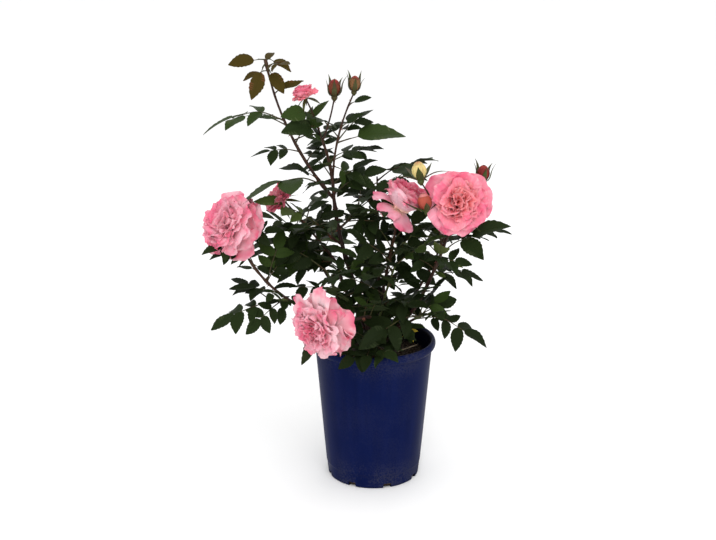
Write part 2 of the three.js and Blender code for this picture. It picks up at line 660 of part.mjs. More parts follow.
/** The trunk: a short leaning stock, flared at the mix and knuckled at its head. */
function trunkSolid() {
  const { flare, waist, head, sides, steps, lean } = TRUNK;
  const high = TRUNK_HEAD - MIX_TOP - GAP;
  return shape(new THREE.CylinderGeometry(1, 1, 1, sides, steps), (x, y, z) => {
    const s = y + 0.5;
    const radius = s < 0.5 ? mix(flare, waist, Math.sqrt(2 * s))
      : mix(waist, head, Math.sin(Math.PI * (s - 0.5) * 1.5));
    return vector(x * radius + lean * (s - 1), -z * radius, MIX_TOP + GAP + high * s);
  });
}

/** A limb with the clear space round it that its neighbours keep out of. */
function clearLimb(points, foot, tip, sides) {
  const longer = points.map((point) => point.clone());
  const last = longer.length - 1;
  const onward = points[last].clone().sub(points[last - 1]).setLength(CLEAR);
  longer[last].add(onward);
  return limb(longer, foot + CLEAR, tip + CLEAR, sides);
}

const trunkTop = vector(0, 0, TRUNK_HEAD);
const trunk = trunkSolid();
const solids = { pot: potSolid(), potting_mix: mixSolid(), trunk };
const tints = { pot: 'pot', potting_mix: 'mix', trunk: 'bark' };

// Each cane is cut clear of the trunk and of the canes before it.
const canePoints = {};
let clearWood = fuse([[1, 0, 0], [-1, 0, 0], [0, 1, 0], [0, -1, 0], [0, 0, 1]].map((way) => (
  trunk.translate(way.map((value) => value * CLEAR)))));
for (const [name, cane] of Object.entries(CANES)) {
  const points = grow(trunkTop.clone().add(vector(...cane.foot)), cane.curve, CANE_STEPS);
  canePoints[name] = points;
  solids[name] = mainBody(limb(points, ...cane.radius, CANE_SIDES).subtract(clearWood));
  clearWood = clearWood.add(clearLimb(points, ...cane.radius, CANE_SIDES));
  tints[name] = 'bark';
}

// Each spray's stem, side shoots and blooms, cut clear of the wood it meets.
const frames = [];
for (const [order, [name, spray]] of Object.entries(SPRAYS).entries()) {
  const start = spray.on === 'trunk' ? trunkTop.clone().add(vector(...spray.at))
    : along(canePoints[spray.on], spray.at);
  const shoots = shootsOf(spray, start);
  const blooms = shoots.filter((shoot) => shoot.bloom)
    .map((shoot) => bloomFrame(shoot.points.at(-1), shoot.bloom));
  const wood = shoots.map((shoot, i) => (
    limb(shoot.points, ...shoot.radius, i ? SHOOT_SIDES : STEM_SIDES)));
  const flowers = blooms.flatMap((bloom) => (bloom.form === 'bud' ? bud(bloom) : openBloom(bloom)));
  const body = mainBody(fuse([...wood, ...flowers]).subtract(clearWood));
  clearWood = fuse([clearWood, ...shoots.map((shoot) => (
    clearLimb(shoot.points, ...shoot.radius, CLEAR_SIDES)))]);
  frames.push({ name, spray, order, shoots, blooms, body });
}

// Leaves: one that would come into a neighbour or a bloom is skipped.
const kept = Object.fromEntries(Object.entries(solids).map(([name, piece]) => [name, [boxed(piece)]]));
for (const { name, body } of frames) kept[name] = [boxed(body)];
const allBlooms = frames.flatMap(({ blooms }) => blooms);
for (const { name, spray, order, shoots } of frames) {
  const dice = new Dice(FIRST_SEED + SEED_STEP * order);
  const others = Object.entries(kept).filter(([other]) => other !== name).flatMap(([, list]) => list);
  for (const shoot of shoots) {
    const rows = shoot.fill ? fillRows(shoot.fill, dice) : (shoot.leaves ?? []);
    for (const row of rows) {
      const leaf = compoundLeaf(shoot.points, row, spray.facing ?? 1, dice);
      if (touches(clearLimb(leaf.rachis, RACHIS_REACH, RACHIS_REACH, 6), others)) continue;
      leaf.leaflets = leaf.leaflets.filter((leaflet) => {
        const middle = leaflet.root.clone().addScaledVector(leaflet.along, leaflet.length * 0.6);
        return !allBlooms.some((bloom) => bloom.middle.distanceTo(middle) < bloom.radius * BLOOM_ROOM)
          && !touches(blade(leaflet, LEAFLET_THICK + 2 * CLEAR, LEAF_ROOM), others);
      });
      kept[name].push(boxed(leafSolid(leaf)));
    }
  }
  solids[name] = mainBody(fuse(kept[name].map((piece) => piece.solid)));
  tints[name] = spray.tint ?? 'leaf';
}

const group = new THREE.Group();
for (const [name, piece] of Object.entries(solids)) {
  const { vertProperties, triVerts } = piece.getMesh();
  const geometry = new THREE.BufferGeometry();
  geometry.setAttribute('position', new THREE.BufferAttribute(vertProperties, 3));
  geometry.setIndex(new THREE.BufferAttribute(triVerts, 1));
  geometry.computeVertexNormals();
  const material = new THREE.MeshStandardMaterial({ color: COLOURS[tints[name]], roughness: 0.7 });
  const mesh = new THREE.Mesh(geometry, material);
  mesh.name = name;
  group.add(mesh);
}

export default group;
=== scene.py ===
"""A pink garden rose in a round navy nursery pot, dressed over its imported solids.

The plant follows one seeded rule, in millimetres with +Z up: a limb is a curve
with a heading, a lean, a length and their even changes; a leaf springs from a
shoot at a fraction of its length. Pieces are written in metres.
"""

from __future__ import annotations

import logging
from collections.abc import Iterable, Sequence
from dataclasses import dataclass, field, replace
from enum import Enum
from math import atan2, ceil, cos, hypot, pi, radians, sin, sqrt

import bpy
import numpy as np
from bpy.types import Material, Node, NodeSocket, NodeTree, Object
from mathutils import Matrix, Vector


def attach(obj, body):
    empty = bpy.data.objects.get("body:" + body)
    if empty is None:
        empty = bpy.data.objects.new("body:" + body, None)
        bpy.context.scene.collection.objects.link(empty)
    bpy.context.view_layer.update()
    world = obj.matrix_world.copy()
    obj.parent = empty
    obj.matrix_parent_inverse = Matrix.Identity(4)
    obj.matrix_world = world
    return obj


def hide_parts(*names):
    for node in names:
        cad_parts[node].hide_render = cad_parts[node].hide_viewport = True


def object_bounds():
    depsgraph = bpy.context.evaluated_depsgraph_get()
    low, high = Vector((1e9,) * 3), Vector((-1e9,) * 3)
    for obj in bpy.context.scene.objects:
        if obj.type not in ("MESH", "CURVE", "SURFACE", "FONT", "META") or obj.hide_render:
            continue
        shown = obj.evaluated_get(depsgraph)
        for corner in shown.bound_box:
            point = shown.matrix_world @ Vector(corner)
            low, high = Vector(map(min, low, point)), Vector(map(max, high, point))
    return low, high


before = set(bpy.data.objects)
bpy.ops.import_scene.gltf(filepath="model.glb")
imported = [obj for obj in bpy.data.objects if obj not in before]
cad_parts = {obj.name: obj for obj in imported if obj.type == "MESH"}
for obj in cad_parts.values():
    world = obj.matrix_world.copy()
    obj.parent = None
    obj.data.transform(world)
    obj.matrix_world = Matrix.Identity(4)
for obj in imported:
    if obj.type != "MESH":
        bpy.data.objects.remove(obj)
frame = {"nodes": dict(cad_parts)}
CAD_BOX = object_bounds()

Array = np.ndarray
Random = np.random.Generator
Pair = tuple[float, float]
Triple = tuple[float, float, float]
Colour = Triple
LOG = logging.getLogger("rose_bush")
MM = 0.001
UP = np.array([0.0, 0.0, 1.0])


@dataclass(frozen=True)
class Seeds:
    """First states of the draws, and their steps from one spray or bloom to the next."""

    leaves: int = 1009
    leaf_step: int = 613
    finer_leaves: int = 7001
    cane_leaves: int = 9001
    finer_step: int = 17
    tones: int = 300
    cane_tones: int = 500
    old_leaf: int = 5
    knots: int = 4
    prickles: int = 77
    blades: int = 50
    petals: int = 70
    sepals: int = 900
    crumbs: int = 21


SEEDS = Seeds()


# ---- the seeded rule


class Dice:
    """The seeded draws of one spray: each state is the last one times a factor, modulo a prime."""

    factor = 16807
    prime = 2147483647

    def __init__(self, seed: int) -> None:
        """Starts the draws from a first state."""
        self.state = seed

    def between(self, low: float, high: float) -> float:
        """The next draw, even between two values."""
        self.state = self.state * self.factor % self.prime
        return low + (high - low) * self.state / self.prime


@dataclass(frozen=True)
class Scatter:
    """Even random values, one for each copy of a shape."""

    rng: Random
    shape: tuple[int, ...]
    jitter: float = 1.0

    def one(self, low: float, high: float) -> Array:
        """A value for each copy, even between two limits."""
        return self.rng.uniform(low, high, self.shape)

    def about(self, amount: float) -> Array:
        """A value for each copy, even about zero, times the jitter."""
        return self.one(-amount, amount) * self.jitter


def unit(vectors: Array) -> Array:
    """Vectors, along the last axis, divided by their lengths."""
    return vectors / np.maximum(np.linalg.norm(vectors, axis=-1, keepdims=True), 1e-9)


def direction(heading: float, lean: float) -> Array:
    """Unit vector (sin l cos h, sin l sin h, cos l) of a heading from +X and a lean from upright."""
    turn, tilt = radians(heading), radians(lean)
    return np.array([sin(tilt) * cos(turn), sin(tilt) * sin(turn), cos(tilt)])


def circle(count: int) -> Array:
    """Even turns round a circle, in radians."""
    return np.arange(count) * 2 * pi / count


@dataclass(frozen=True)
class Curve:
    """A limb's course: heading, lean, length, and the change of lean and heading along it."""

    heading: float
    lean: float
    length: float
    bend: float = 0.0
    swing: float = 0.0

    def grow(self, start: Array, steps: int) -> Array:
        """Joints of the limb: each step takes the heading and lean at its middle.

        Args:
            start: the first point.
            steps: how many straight steps.

        Returns:
            Points, steps + 1 of them.
        """
        middles = (np.arange(steps) + 0.5) / steps
        moves = [direction(self.heading + self.swing * s, self.lean + self.bend * s) for s in middles]
        return start + np.vstack([np.zeros(3), np.cumsum(moves, axis=0) * self.length / steps])


def along(points: Array, at: float) -> Array:
    """The point at a fraction of a limb's joints, from 0 at the foot to 1 at the tip."""
    i = min(int(at * (len(points) - 1)), len(points) - 2)
    return points[i] + (points[i + 1] - points[i]) * (at * (len(points) - 1) - i)


def heading_at(points: Array, at: float) -> Array:
    """A limb's unit direction around a fraction of its joints."""
    return unit(along(points, min(at + 0.05, 1.0)) - along(points, max(at - 0.05, 0.0)))


def side_of(tangent: Array) -> Array:
    """The level unit vector square to a limb's direction, on its left."""
    side = np.cross(UP, tangent)
    return np.array([0.0, 1.0, 0.0]) if np.linalg.norm(side) < 1e-3 else unit(side)


def turned(vector: Array, axis: Array, angle: float) -> Array:
    """A vector turned by radians about a unit axis: v cos a + (k x v) sin a + k (k.v)(1 - cos a)."""
    ahead, aside = cos(angle), sin(angle)
    return vector * ahead + np.cross(axis, vector) * aside + axis * np.dot(axis, vector) * (1 - ahead)


class Tone(Enum):
    """The colour groups of leaves."""

    MATURE = "mature"
    DEEP = "deep"
    LIT = "lit"
    YOUNG = "young"
    BRONZE = "bronze"
    YELLOW = "yellow"


@dataclass(frozen=True)
class LeafRow:
    """One compound leaf: place, heading, rise, size, leaflet pairs, and its own droop and roll."""

    at: float
    heading: float
    rise: float
    size: float
    pairs: int
    held: Pair | None = None


@dataclass(frozen=True)
class Fill:
    """Seeded leaves spread over a shoot in a spiral from a first heading."""

    count: int
    size: float
    heading: float


class Form(Enum):
    """How far a bloom has opened."""

    FULL = "full"
    OPEN = "open"
    CUP = "cup"
    HALF = "half"
    BUD = "bud"
    LAYERED = "layered"
    BLOWN = "blown"


@dataclass(frozen=True)
class BloomRow:
    """A bloom on a shoot's tip: its form, radius, and the heading and lean that it faces.

    shade holds its outer and its inner petals' places on the petal colour scale.
    """

    form: Form
    radius: float
    heading: float
    lean: float
    shade: Pair = (0.4, 0.8)


@dataclass(frozen=True)
class ShootForm:
    """A side shoot of a spray."""

    at: float
    curve: Curve
    radius: Pair
    bloom: BloomRow | None = None
    leaves: tuple[LeafRow, ...] = ()


@dataclass(frozen=True)
class SprayForm:
    """A mass of foliage: its stem, its leaves, its side shoots and its bloom."""

    on: str
    at: float | Triple
    curve: Curve
    radius: Pair
    leaves: tuple[LeafRow, ...] = ()
    shoots: tuple[ShootForm, ...] = ()
    bloom: BloomRow | None = None
    fill: Fill | None = None
    facing: float = 1.0


@dataclass(frozen=True)
class CaneForm:
    """A cane: where it leaves the trunk's head, its course, and its foot and tip radii."""

    foot: Triple
    curve: Curve
    radius: Pair


def rows(*values: tuple) -> tuple[LeafRow, ...]:
    """Leaf rows from tuples of (at, heading, rise, size, pairs[, (droop, roll)])."""
    return tuple(LeafRow(*value) for value in values)


CANES = {
    "leader_cane": CaneForm((-6, 3, 0), Curve(128, 25, 231, -17, 99), (4.4, 2.9)),
    "centre_cane": CaneForm((6, 3, 0), Curve(30, 19, 80, -23, -20), (3.6, 2.6)),
    "left_cane": CaneForm((-9, -6, -9), Curve(198, 62, 156, -8, -2), (3.8, 2.5)),
    "right_cane": CaneForm((10, -4, -6), Curve(-15, 56, 117, -32, -16), (3.8, 2.6)),
    "upper_left_cane": CaneForm((-9, 8, -7), Curve(111, 50, 132, -40, 88), (3.6, 2.3)),
    "front_cane": CaneForm((-4, -10, -9), Curve(293, 18, 128, 76, -71), (2.8, 2.0)),
    "back_cane": CaneForm((2, 10, -3), Curve(75, 32, 150, -10, 20), (3.6, 2.4)),
    "back_right_cane": CaneForm((9, 7, -11), Curve(40, 57, 120, -20, -10), (3.4, 2.3)),
    "back_left_cane": CaneForm((-3, 11, -16), Curve(136, 58, 118, -20, 4), (3.4, 2.3)),
    "lower_right_cane": CaneForm((9, -9, -14), Curve(-25, 42, 80, 15), (2.8, 2.0)),
}
# leaf rows: place on the shoot, heading, rise, size, pairs, and for some their own droop and roll
SPRAYS = {
    "bronze_spray": SprayForm("leader_cane", 1, Curve(189, 40, 245, -29, -22), (2.6, 1.3), rows(
        (0.12, 208, 37, 1.6, 1, (52, 8)), (0.15, 200, 48, 1.1, 0), (0.08, 260, 20, 0.7, 1),
        (0.38, 195, 20, 0.7, 2), (0.6, 182, 36, 1.2, 2, (64, -3)), (0.44, 340, 65, 0.76, 2),
        (0.3, 70, 30, 0.7, 2), (0.78, 0, 50, 0.75, 0), (0.98, 235, -34, 0.95, 0, (20, -30)),
        (0.93, 190, 4, 0.62, 0), (0.95, 300, -20, 0.8, 0, (20, 40)), (1, 185, 8, 0.85, 0, (20, -52)),
        (1, 10, 20, 0.66, 0, (60, 44)), (0.97, 90, 40, 0.6, 0),
    )),
    "bud_spray": SprayForm("leader_cane", 1, Curve(38, -2, 100, -20, -12), (2.6, 1.8), rows(
        (0.62, 8, 45, 0.9, 1, (40, 10)), (0.08, 25, 40, 0.85, 2), (0.24, 15, 42, 0.9, 1, (20, 10)),
        (0.5, 250, 40, 0.85, 0), (0.55, 20, -10, 0.65, 1), (0.9, 200, 75, 0.8, 0), (0.75, 100, 30, 0.8, 2),
        (0.35, 120, 30, 0.9, 2),
    ), shoots=(
        ShootForm(
            0.97, Curve(197, 16, 73, 10, -7), (1.4, 1.2), BloomRow(Form.HALF, 21, 200, 20, (0.66, 0.3)),
            rows((0.3, 245, 26, 1.2, 0, (20, -62)), (0.62, 232, 26, 1.1, 0, (20, -60))),
        ),
        ShootForm(
            0.97, Curve(-27, 23, 72, -12), (1.4, 1.2), BloomRow(Form.BUD, 10, 0, 0, (1.62, 1.5)),
            rows((0.3, 30, 30, 0.7, 0)),
        ),
        ShootForm(
            0.28, Curve(-73, 8, 150, 16, 75), (1.8, 1.2), BloomRow(Form.BUD, 9, 0, 5, (1.72, 1.6)),
            rows(
                (0.44, 5, 18, 1.65, 0, (6, 30)), (0.6, 350, 55, 0.65, 0), (0.85, 339, 49, 0.6, 0),
                (0.5, 120, 30, 0.6, 1),
            ),
        ),
    )),
    "leader_left_spray": SprayForm("leader_cane", 0.66, Curve(200, 55, 60, -15, 10), (2.2, 1.4), rows(
        (0.5, 205, 20, 1, 2), (0.7, 250, 25, 0.95, 2), (1, 190, 40, 0.95, 2), (0.3, 130, 30, 0.9, 2),
        (0.9, 300, 30, 0.8, 1),
    )),
    "leader_right_spray": SprayForm("leader_cane", 0.78, Curve(-20, 50, 50, -20, 10), (2.2, 1.4), rows(
        (0.4, -40, 15, 0.9, 2), (0.8, 10, 45, 0.9, 2), (1, 80, 40, 0.9, 2), (0.9, -80, 30, 0.8, 1),
    )),
    "hidden_bloom_spray": SprayForm("upper_left_cane", 1, Curve(182, 35, 147, 7, 38), (2.2, 1.4), rows(
        (0.35, 195, 16, 0.95, 2, (26, -14)), (0.2, 200, 12, 0.95, 2), (0.1, 185, 13, 0.65, 1),
        (0.7, 250, -14, 0.7, 1), (0.8, 210, 38, 0.5, 0), (0.55, 330, 43, 0.8, 1), (0.05, 180, 3, 0.91, 2),
        (0.6, 84, 28, 1.1, 2),
    ), bloom=BloomRow(Form.OPEN, 33, 200, 50, (0.45, 0.6))),
    "left_bloom_spray": SprayForm("left_cane", 1, Curve(195, 52, 148, -35, -27), (2.2, 1.7), rows(
        (0.1, 185, 23, 0.9, 1), (0.3, 30, 58, 0.65, 1), (0.45, 190, 43, 0.5, 0), (0.55, 330, -6, 0.5, 0),
        (0.8, 205, 10, 0.72, 1), (0.85, 230, 12, 0.9, 0), (0.3, 60, 62, 0.8, 2), (0.75, 41, 60, 0.5, 1),
        (0.5, 110, 25, 0.9, 2),
    ), bloom=BloomRow(Form.LAYERED, 51, 222, 62, (0.12, 0.34))),
    "lower_left_spray": SprayForm("left_cane", 1, Curve(190, 92, 26), (2.2, 1.8), rows(
        (0.8, 185, -11, 0.98, 2), (0.3, 215, -23, 0.7, 2), (0.25, 250, -60, 0.6, 0), (1, 150, 30, 0.75, 2),
    )),
    "front_bloom_spray": SprayForm("front_cane", 1, Curve(210, 84, 56, 10), (2.0, 1.8), rows(
        (0.2, 190, -15, 0.7, 1), (0.8, 180, -52, 1.15, 0, (4, 30)),
    ), bloom=BloomRow(Form.BLOWN, 49, 225, 104, (0.0, 0.36))),
    "centre_bloom_spray": SprayForm("centre_cane", 1, Curve(-44, 15.5, 137, -5, 9), (2.3, 1.7), rows(
        (0.1, 350, 66, 0.8, 1), (0.35, 0, 58, 0.8, 2), (0.5, 170, 66, 0.9, 2), (0.06, 320, 45, 0.7, 1),
        (0.7, 200, 80, 0.8, 0), (0.6, 20, 49, 0.9, 1), (0.2, 190, 40, 0.8, 2), (0.3, 260, 20, 0.85, 2),
        (0.45, 90, 30, 0.9, 2),
    ), bloom=BloomRow(Form.CUP, 39, -15, 30, (0.25, 0.6))),
    "right_bloom_spray": SprayForm("right_cane", 1, Curve(-11, 24.5, 151, -11, 19), (2.4, 1.8), rows(
        (0.44, 2, 50, 1.3, 1, (36, 22)), (0.35, 350, 22, 0.62, 1), (0.36, 285, 66, 1.1, 0),
        (0.38, 190, 46, 0.6, 1), (0.27, 180, 45, 0.65, 1), (0.27, 320, 30, 0.5, 0), (0.08, 200, 38, 0.5, 0),
        (0.55, 190, 58, 0.7, 0), (0.14, 62, 36, 0.65, 1), (0.5, 90, 35, 0.9, 2), (0.62, 60, 30, 0.8, 2),
    ), shoots=(
        ShootForm(
            0.54, Curve(203, 6, 111, 29, -21), (1.5, 1.2), BloomRow(Form.BUD, 11, 140, 12, (2.0, 1.95)),
            rows((0.75, 20, 40, 0.4, 0)),
        ),
        ShootForm(
            0.45, Curve(259, 1, 77, 43, -65), (1.5, 1.2), BloomRow(Form.BUD, 11, 150, 20, (1.3, 1.15)),
        ),
        ShootForm(0.63, Curve(50, 45, 102, -16, -60), (1.5, 1.2), BloomRow(Form.BUD, 10, 0, 5, (1.5, 1.5))),
    ), bloom=BloomRow(Form.FULL, 54, 272, 68, (0.42, 0.92))),
    "lower_right_spray": SprayForm("lower_right_cane", 1, Curve(-12, 58, 26, 20), (1.9, 1.6), rows(
        (0.02, 345, 24, 0.92, 3, (64, 24)), (0.4, 10, 55, 0.7, 1), (0.3, 349, 80, 0.9, 1),
        (0.5, 215, 14, 1.15, 2), (0.2, 120, 40, 0.7, 2), (0.1, 20, 34, 0.9, 1, (30, 30)),
    )),
    "skirt_spray": SprayForm("trunk", (-4, -13, -16), Curve(268, 50, 62, 40), (2.0, 1.5), rows(
        (0.9, 297, 15, 0.76, 2), (1, 240, 10, 0.7, 2), (0.86, 268, 8, 0.72, 2), (0.5, 330, 30, 0.8, 2),
        (0.6, 210, 30, 0.7, 2),
    )),
    "core_spray": SprayForm("trunk", (4, -6, 1), Curve(300, 15, 130, 6, 30), (2.2, 1.4), rows(
        (0.22, 20, 30, 0.85, 2), (0.34, 200, 25, 0.9, 2), (0.46, 320, 25, 0.9, 2), (0.58, 175, 35, 1, 2),
        (0.7, 15, 35, 0.95, 2), (0.8, 255, 30, 0.95, 2), (0.9, 110, 35, 0.85, 2), (1, 195, 50, 0.95, 2),
        (1, 340, 50, 0.85, 2),
    )),
    "left_core_spray": SprayForm("left_cane", 0.3, Curve(170, 8, 100, 14, 20), (2.1, 1.4), rows(
        (0.3, 240, 20, 0.85, 2), (0.5, 10, 30, 0.85, 2), (0.65, 190, 25, 0.9, 2), (0.85, 280, 30, 0.95, 2),
        (1, 170, 40, 0.95, 2),
    )),
    "back_spray": SprayForm(
        "back_cane", 1, Curve(95, 12, 110, -10, 20), (2.2, 1.4), fill=Fill(8, 1, 30), facing=-1,
    ),
    "back_right_spray": SprayForm(
        "back_right_cane", 1, Curve(40, 44, 92, -5, 20), (2.1, 1.4), fill=Fill(6, 1.08, 0), facing=-1,
    ),
    "back_left_spray": SprayForm(
        "back_left_cane", 1, Curve(134, 46, 95, -5, 10), (2.1, 1.4), fill=Fill(6, 1.08, 140), facing=-1,
    ),
}


@dataclass
class Leaflet:
    """One leaflet: where it is rooted, its directions and its sizes."""

    root: Array
    along: Array
    normal: Array
    length: float
    width: float


@dataclass
class Leaf:
    """A compound leaf: the joints of its rachis and its leaflets."""

    rachis: Array
    leaflets: list[Leaflet]
    size: float
    tone: Tone


@dataclass(frozen=True)
class LeafRule:
    """How a compound leaf is laid out from its row and the spray's draws.

    Lengths are for a leaf of size 1: its stalk, the room between pairs, the rachis
    past the last pair, and its end leaflet.
    """

    foot: float = 20.0
    pair_step: float = 24.0
    end_step: float = 12.0
    leaflet: float = 47.0
    angle: float = 62.0
    facing: float = 24.0

    def leaf(self, shoot: Array, row: LeafRow, facing: float, dice: Dice, tone: Tone) -> Leaf:
        """Lays out one leaf; a row's own droop and roll still use up their draws.

        Args:
            shoot: joints of the shoot that bears it.
            row: its named values.
            facing: 1 where the plant's front shows the upper faces, -1 at the back.
            dice: the spray's draws.
            tone: its colour group.

        Returns:
            The leaf.
        """
        droop = dice.between(15, 35)
        roll = facing * self.facing * cos(radians(row.heading)) + dice.between(-26, 26)
        droop, roll = row.held or (droop, roll)
        swing = dice.between(-16, 16)
        length = row.size * (self.foot + self.pair_step * row.pairs)
        curve = Curve(row.heading, 90 - row.rise, length, droop, swing)
        rachis = curve.grow(along(shoot, row.at), 2)
        leaflets = []
        for pair, side in [(0, 0), *((pair, side) for pair in range(1, row.pairs + 1) for side in (1, -1))]:
            place, scale = 1.0, 1.0
            if pair:
                place -= (self.end_step + (pair - 1) * self.pair_step) * row.size / length
                scale = 0.9 - 0.17 * (pair - 1) + dice.between(-0.05, 0.05)
            dip = radians(dice.between(-8, 22) if pair else dice.between(-4, 14))
            tangent = heading_at(rachis, place)
            level = turned(side_of(tangent), tangent, radians(roll))
            face = np.cross(tangent, level)
            spread = side * radians(self.angle)
            out = tangent * cos(spread) + level * sin(spread)
            leaflets.append(
                Leaflet(
                    root=along(rachis, place),
                    along=out * cos(dip) - face * sin(dip),
                    normal=face * cos(dip) + out * sin(dip),
                    length=scale * row.size * self.leaflet,
                    width=dice.between(0.25, 0.28),
                )
            )
        return Leaf(rachis, leaflets, row.size, tone)


@dataclass
class BloomFrame:
    """A bloom's place: its base, its axis and two directions square to it."""

    row: BloomRow
    base: Array
    axis: Array
    u: Array
    w: Array
    middle: Array

    @classmethod
    def on_tip(cls, tip: Array, row: BloomRow) -> BloomFrame:
        """The frame of a bloom on a shoot's tip, its base 1 mm down the axis.

        Args:
            tip: the shoot's last joint.
            row: the bloom's named values.

        Returns:
            The frame.
        """
        axis = direction(row.heading, row.lean)
        u = side_of(axis)
        return cls(row, tip - axis, axis, u, np.cross(axis, u), tip + axis * row.radius * 0.45)

    def point(self, high: Array, out: Array, angle: Array) -> Array:
        """Points from height on the axis, distance from it and angle about it, in radii."""
        high, out, angle = (a[..., None] for a in np.broadcast_arrays(high, out, angle))
        ring = np.cos(angle) * self.u + np.sin(angle) * self.w
        return self.base + self.row.radius * (high * self.axis + out * ring)

    def rooms(self) -> list[tuple[Array, float]]:
        """Balls that leaves keep out of: the bloom's own and one in each loose petal.

        Returns:
            Their middles and radii.
        """
        balls = [(self.middle, self.row.radius * 0.85)]
        for whorl in LOOSE.get(self.row.form, ()):
            lean, turn = (np.radians(value) for value in ((whorl.claw + whorl.lip) / 2, whorl.turn))
            middle = self.point(0.6 * whorl.reach * np.cos(lean), 0.6 * whorl.reach * np.sin(lean), turn)
            balls.append((middle, self.row.radius * 0.5))
        return balls


# ---- surfaces


def smooth_path(points: Array, count: int) -> Array:
    """Catmull-Rom curve through joints, evenly spaced in its parameter.

    Between joints b and c with neighbours a and d, at t the point is
    (2b + (c-a)t + (2a-5b+4c-d)t2 + (3b-3c+d-a)t3) / 2.

    Args:
        points: joints, shape (..., joints, 3).
        count: points on each path.

    Returns:
        Points, shape (..., count, 3).
    """
    first = 2 * points[..., :1, :] - points[..., 1:2, :]
    last = 2 * points[..., -1:, :] - points[..., -2:-1, :]
    full = np.concatenate([first, points, last], axis=-2)
    place = np.linspace(0, points.shape[-2] - 1, count)
    i = np.minimum(place.astype(int), points.shape[-2] - 2)
    t = (place - i)[:, None]
    a, b, c, d = (full[..., i + k, :] for k in range(4))
    return (2 * b + (c - a) * t + (2 * a - 5 * b + 4 * c - d) * t**2 + (3 * b - 3 * c + d - a) * t**3) / 2


def ripple(points: Array, size: float, seed: int) -> Array:
    """Smooth noise: the mean of seven sines along random directions, sin(p.k + phase).

    Args:
        points: shape (..., 3), in millimetres.
        size: the usual distance between bumps.
        seed: which noise.

    Returns:
        Values about -1 to 1, without the last axis.
    """
    count, full = 7, 1.9
    rng = np.random.default_rng(seed)
    waves = unit(rng.normal(size=(count, 3))) * rng.uniform(0.6, 1.7, (count, 1)) * 2 * pi / size
    phase = rng.uniform(0, 2 * pi, count)
    return np.sin(points @ waves.T + phase).mean(axis=-1) * full


def lathe(section: Array, sides: int) -> Array:
    """Rings (r cos t, r sin t, z) of a section's (r, z) points, with so many sides."""
    turn, radius, high = circle(sides), section[:, :1], np.repeat(section[:, 1:], sides, 1)
    return np.stack([radius * np.cos(turn), radius * np.sin(turn), high], -1)


def running(values: Array, reach: Array) -> Array:
    """Running sums of the second axis, from 0: the mean of each two, over a reach in even steps."""
    steps = np.cumsum((values[:, 1:] + values[:, :-1]) / 2, axis=1)
    return np.concatenate([0 * values[:, :1], steps], axis=1) * reach / (values.shape[1] - 1)


@dataclass(frozen=True)
class Sheet:
    """A thin closed sheet: one grid above and one below, joined at their rims."""

    rows: int
    cols: int

    def _numbers(self) -> tuple[Array, Array]:
        """Point numbers of the upper and the lower grid; their rims are shared."""
        top = np.arange(self.rows * self.cols).reshape(self.rows, self.cols)
        low = top.copy()
        inner = (self.rows - 2) * (self.cols - 2)
        low[1:-1, 1:-1] = top.size + np.arange(inner).reshape(self.rows - 2, self.cols - 2)
        return top, low

    @staticmethod
    def _quads(grid: Array) -> Array:
        """Four corners of each cell of a grid."""
        return np.stack([grid[:-1, :-1], grid[1:, :-1], grid[1:, 1:], grid[:-1, 1:]], -1).reshape(
            -1, *grid.shape[2:], 4
        )

    def faces(self) -> Array:
        """Faces of the upper grid, then of the lower one turned over."""
        top, low = self._numbers()
        return np.concatenate([self._quads(top), self._quads(low)[:, ::-1]])

    def maps(self) -> Array:
        """Corner coordinates (across, along) of every face, from 0 to 1."""
        v, s = np.meshgrid(np.linspace(0, 1, self.cols), np.linspace(0, 1, self.rows))
        corners = np.stack([self._quads(v), self._quads(s)], -1)
        return np.concatenate([corners, corners[:, ::-1]])

    def below(self) -> Array:
        """True for the faces of the lower grid."""
        half = (self.rows - 1) * (self.cols - 1)
        return np.arange(2 * half) >= half

    def span(self) -> tuple[Array, Array]:
        """Places along, 0 to 1, and across, -1 to 1, shapes (1, rows, 1) and (1, 1, cols)."""
        return np.linspace(0, 1, self.rows)[None, :, None], np.linspace(-1, 1, self.cols)[None, None, :]

    def points(self, grid: Array, thick: float) -> Array:
        """Points of sheets: inner grid points moved half a thickness along the normal each way.

        Args:
            grid: middle surfaces, shape (n, rows, cols, 3).
            thick: their thickness.

        Returns:
            Points, shape (n, points of one sheet, 3).
        """
        normal = unit(np.cross(np.gradient(grid, axis=1), np.gradient(grid, axis=2)))
        half = thick / 2
        inside = np.zeros((self.rows, self.cols, 1))
        inside[1:-1, 1:-1] = 1
        top = grid + normal * half * inside
        low = (grid - normal * half)[:, 1:-1, 1:-1]
        return np.concatenate([top.reshape(len(grid), -1, 3), low.reshape(len(grid), -1, 3)], axis=1)


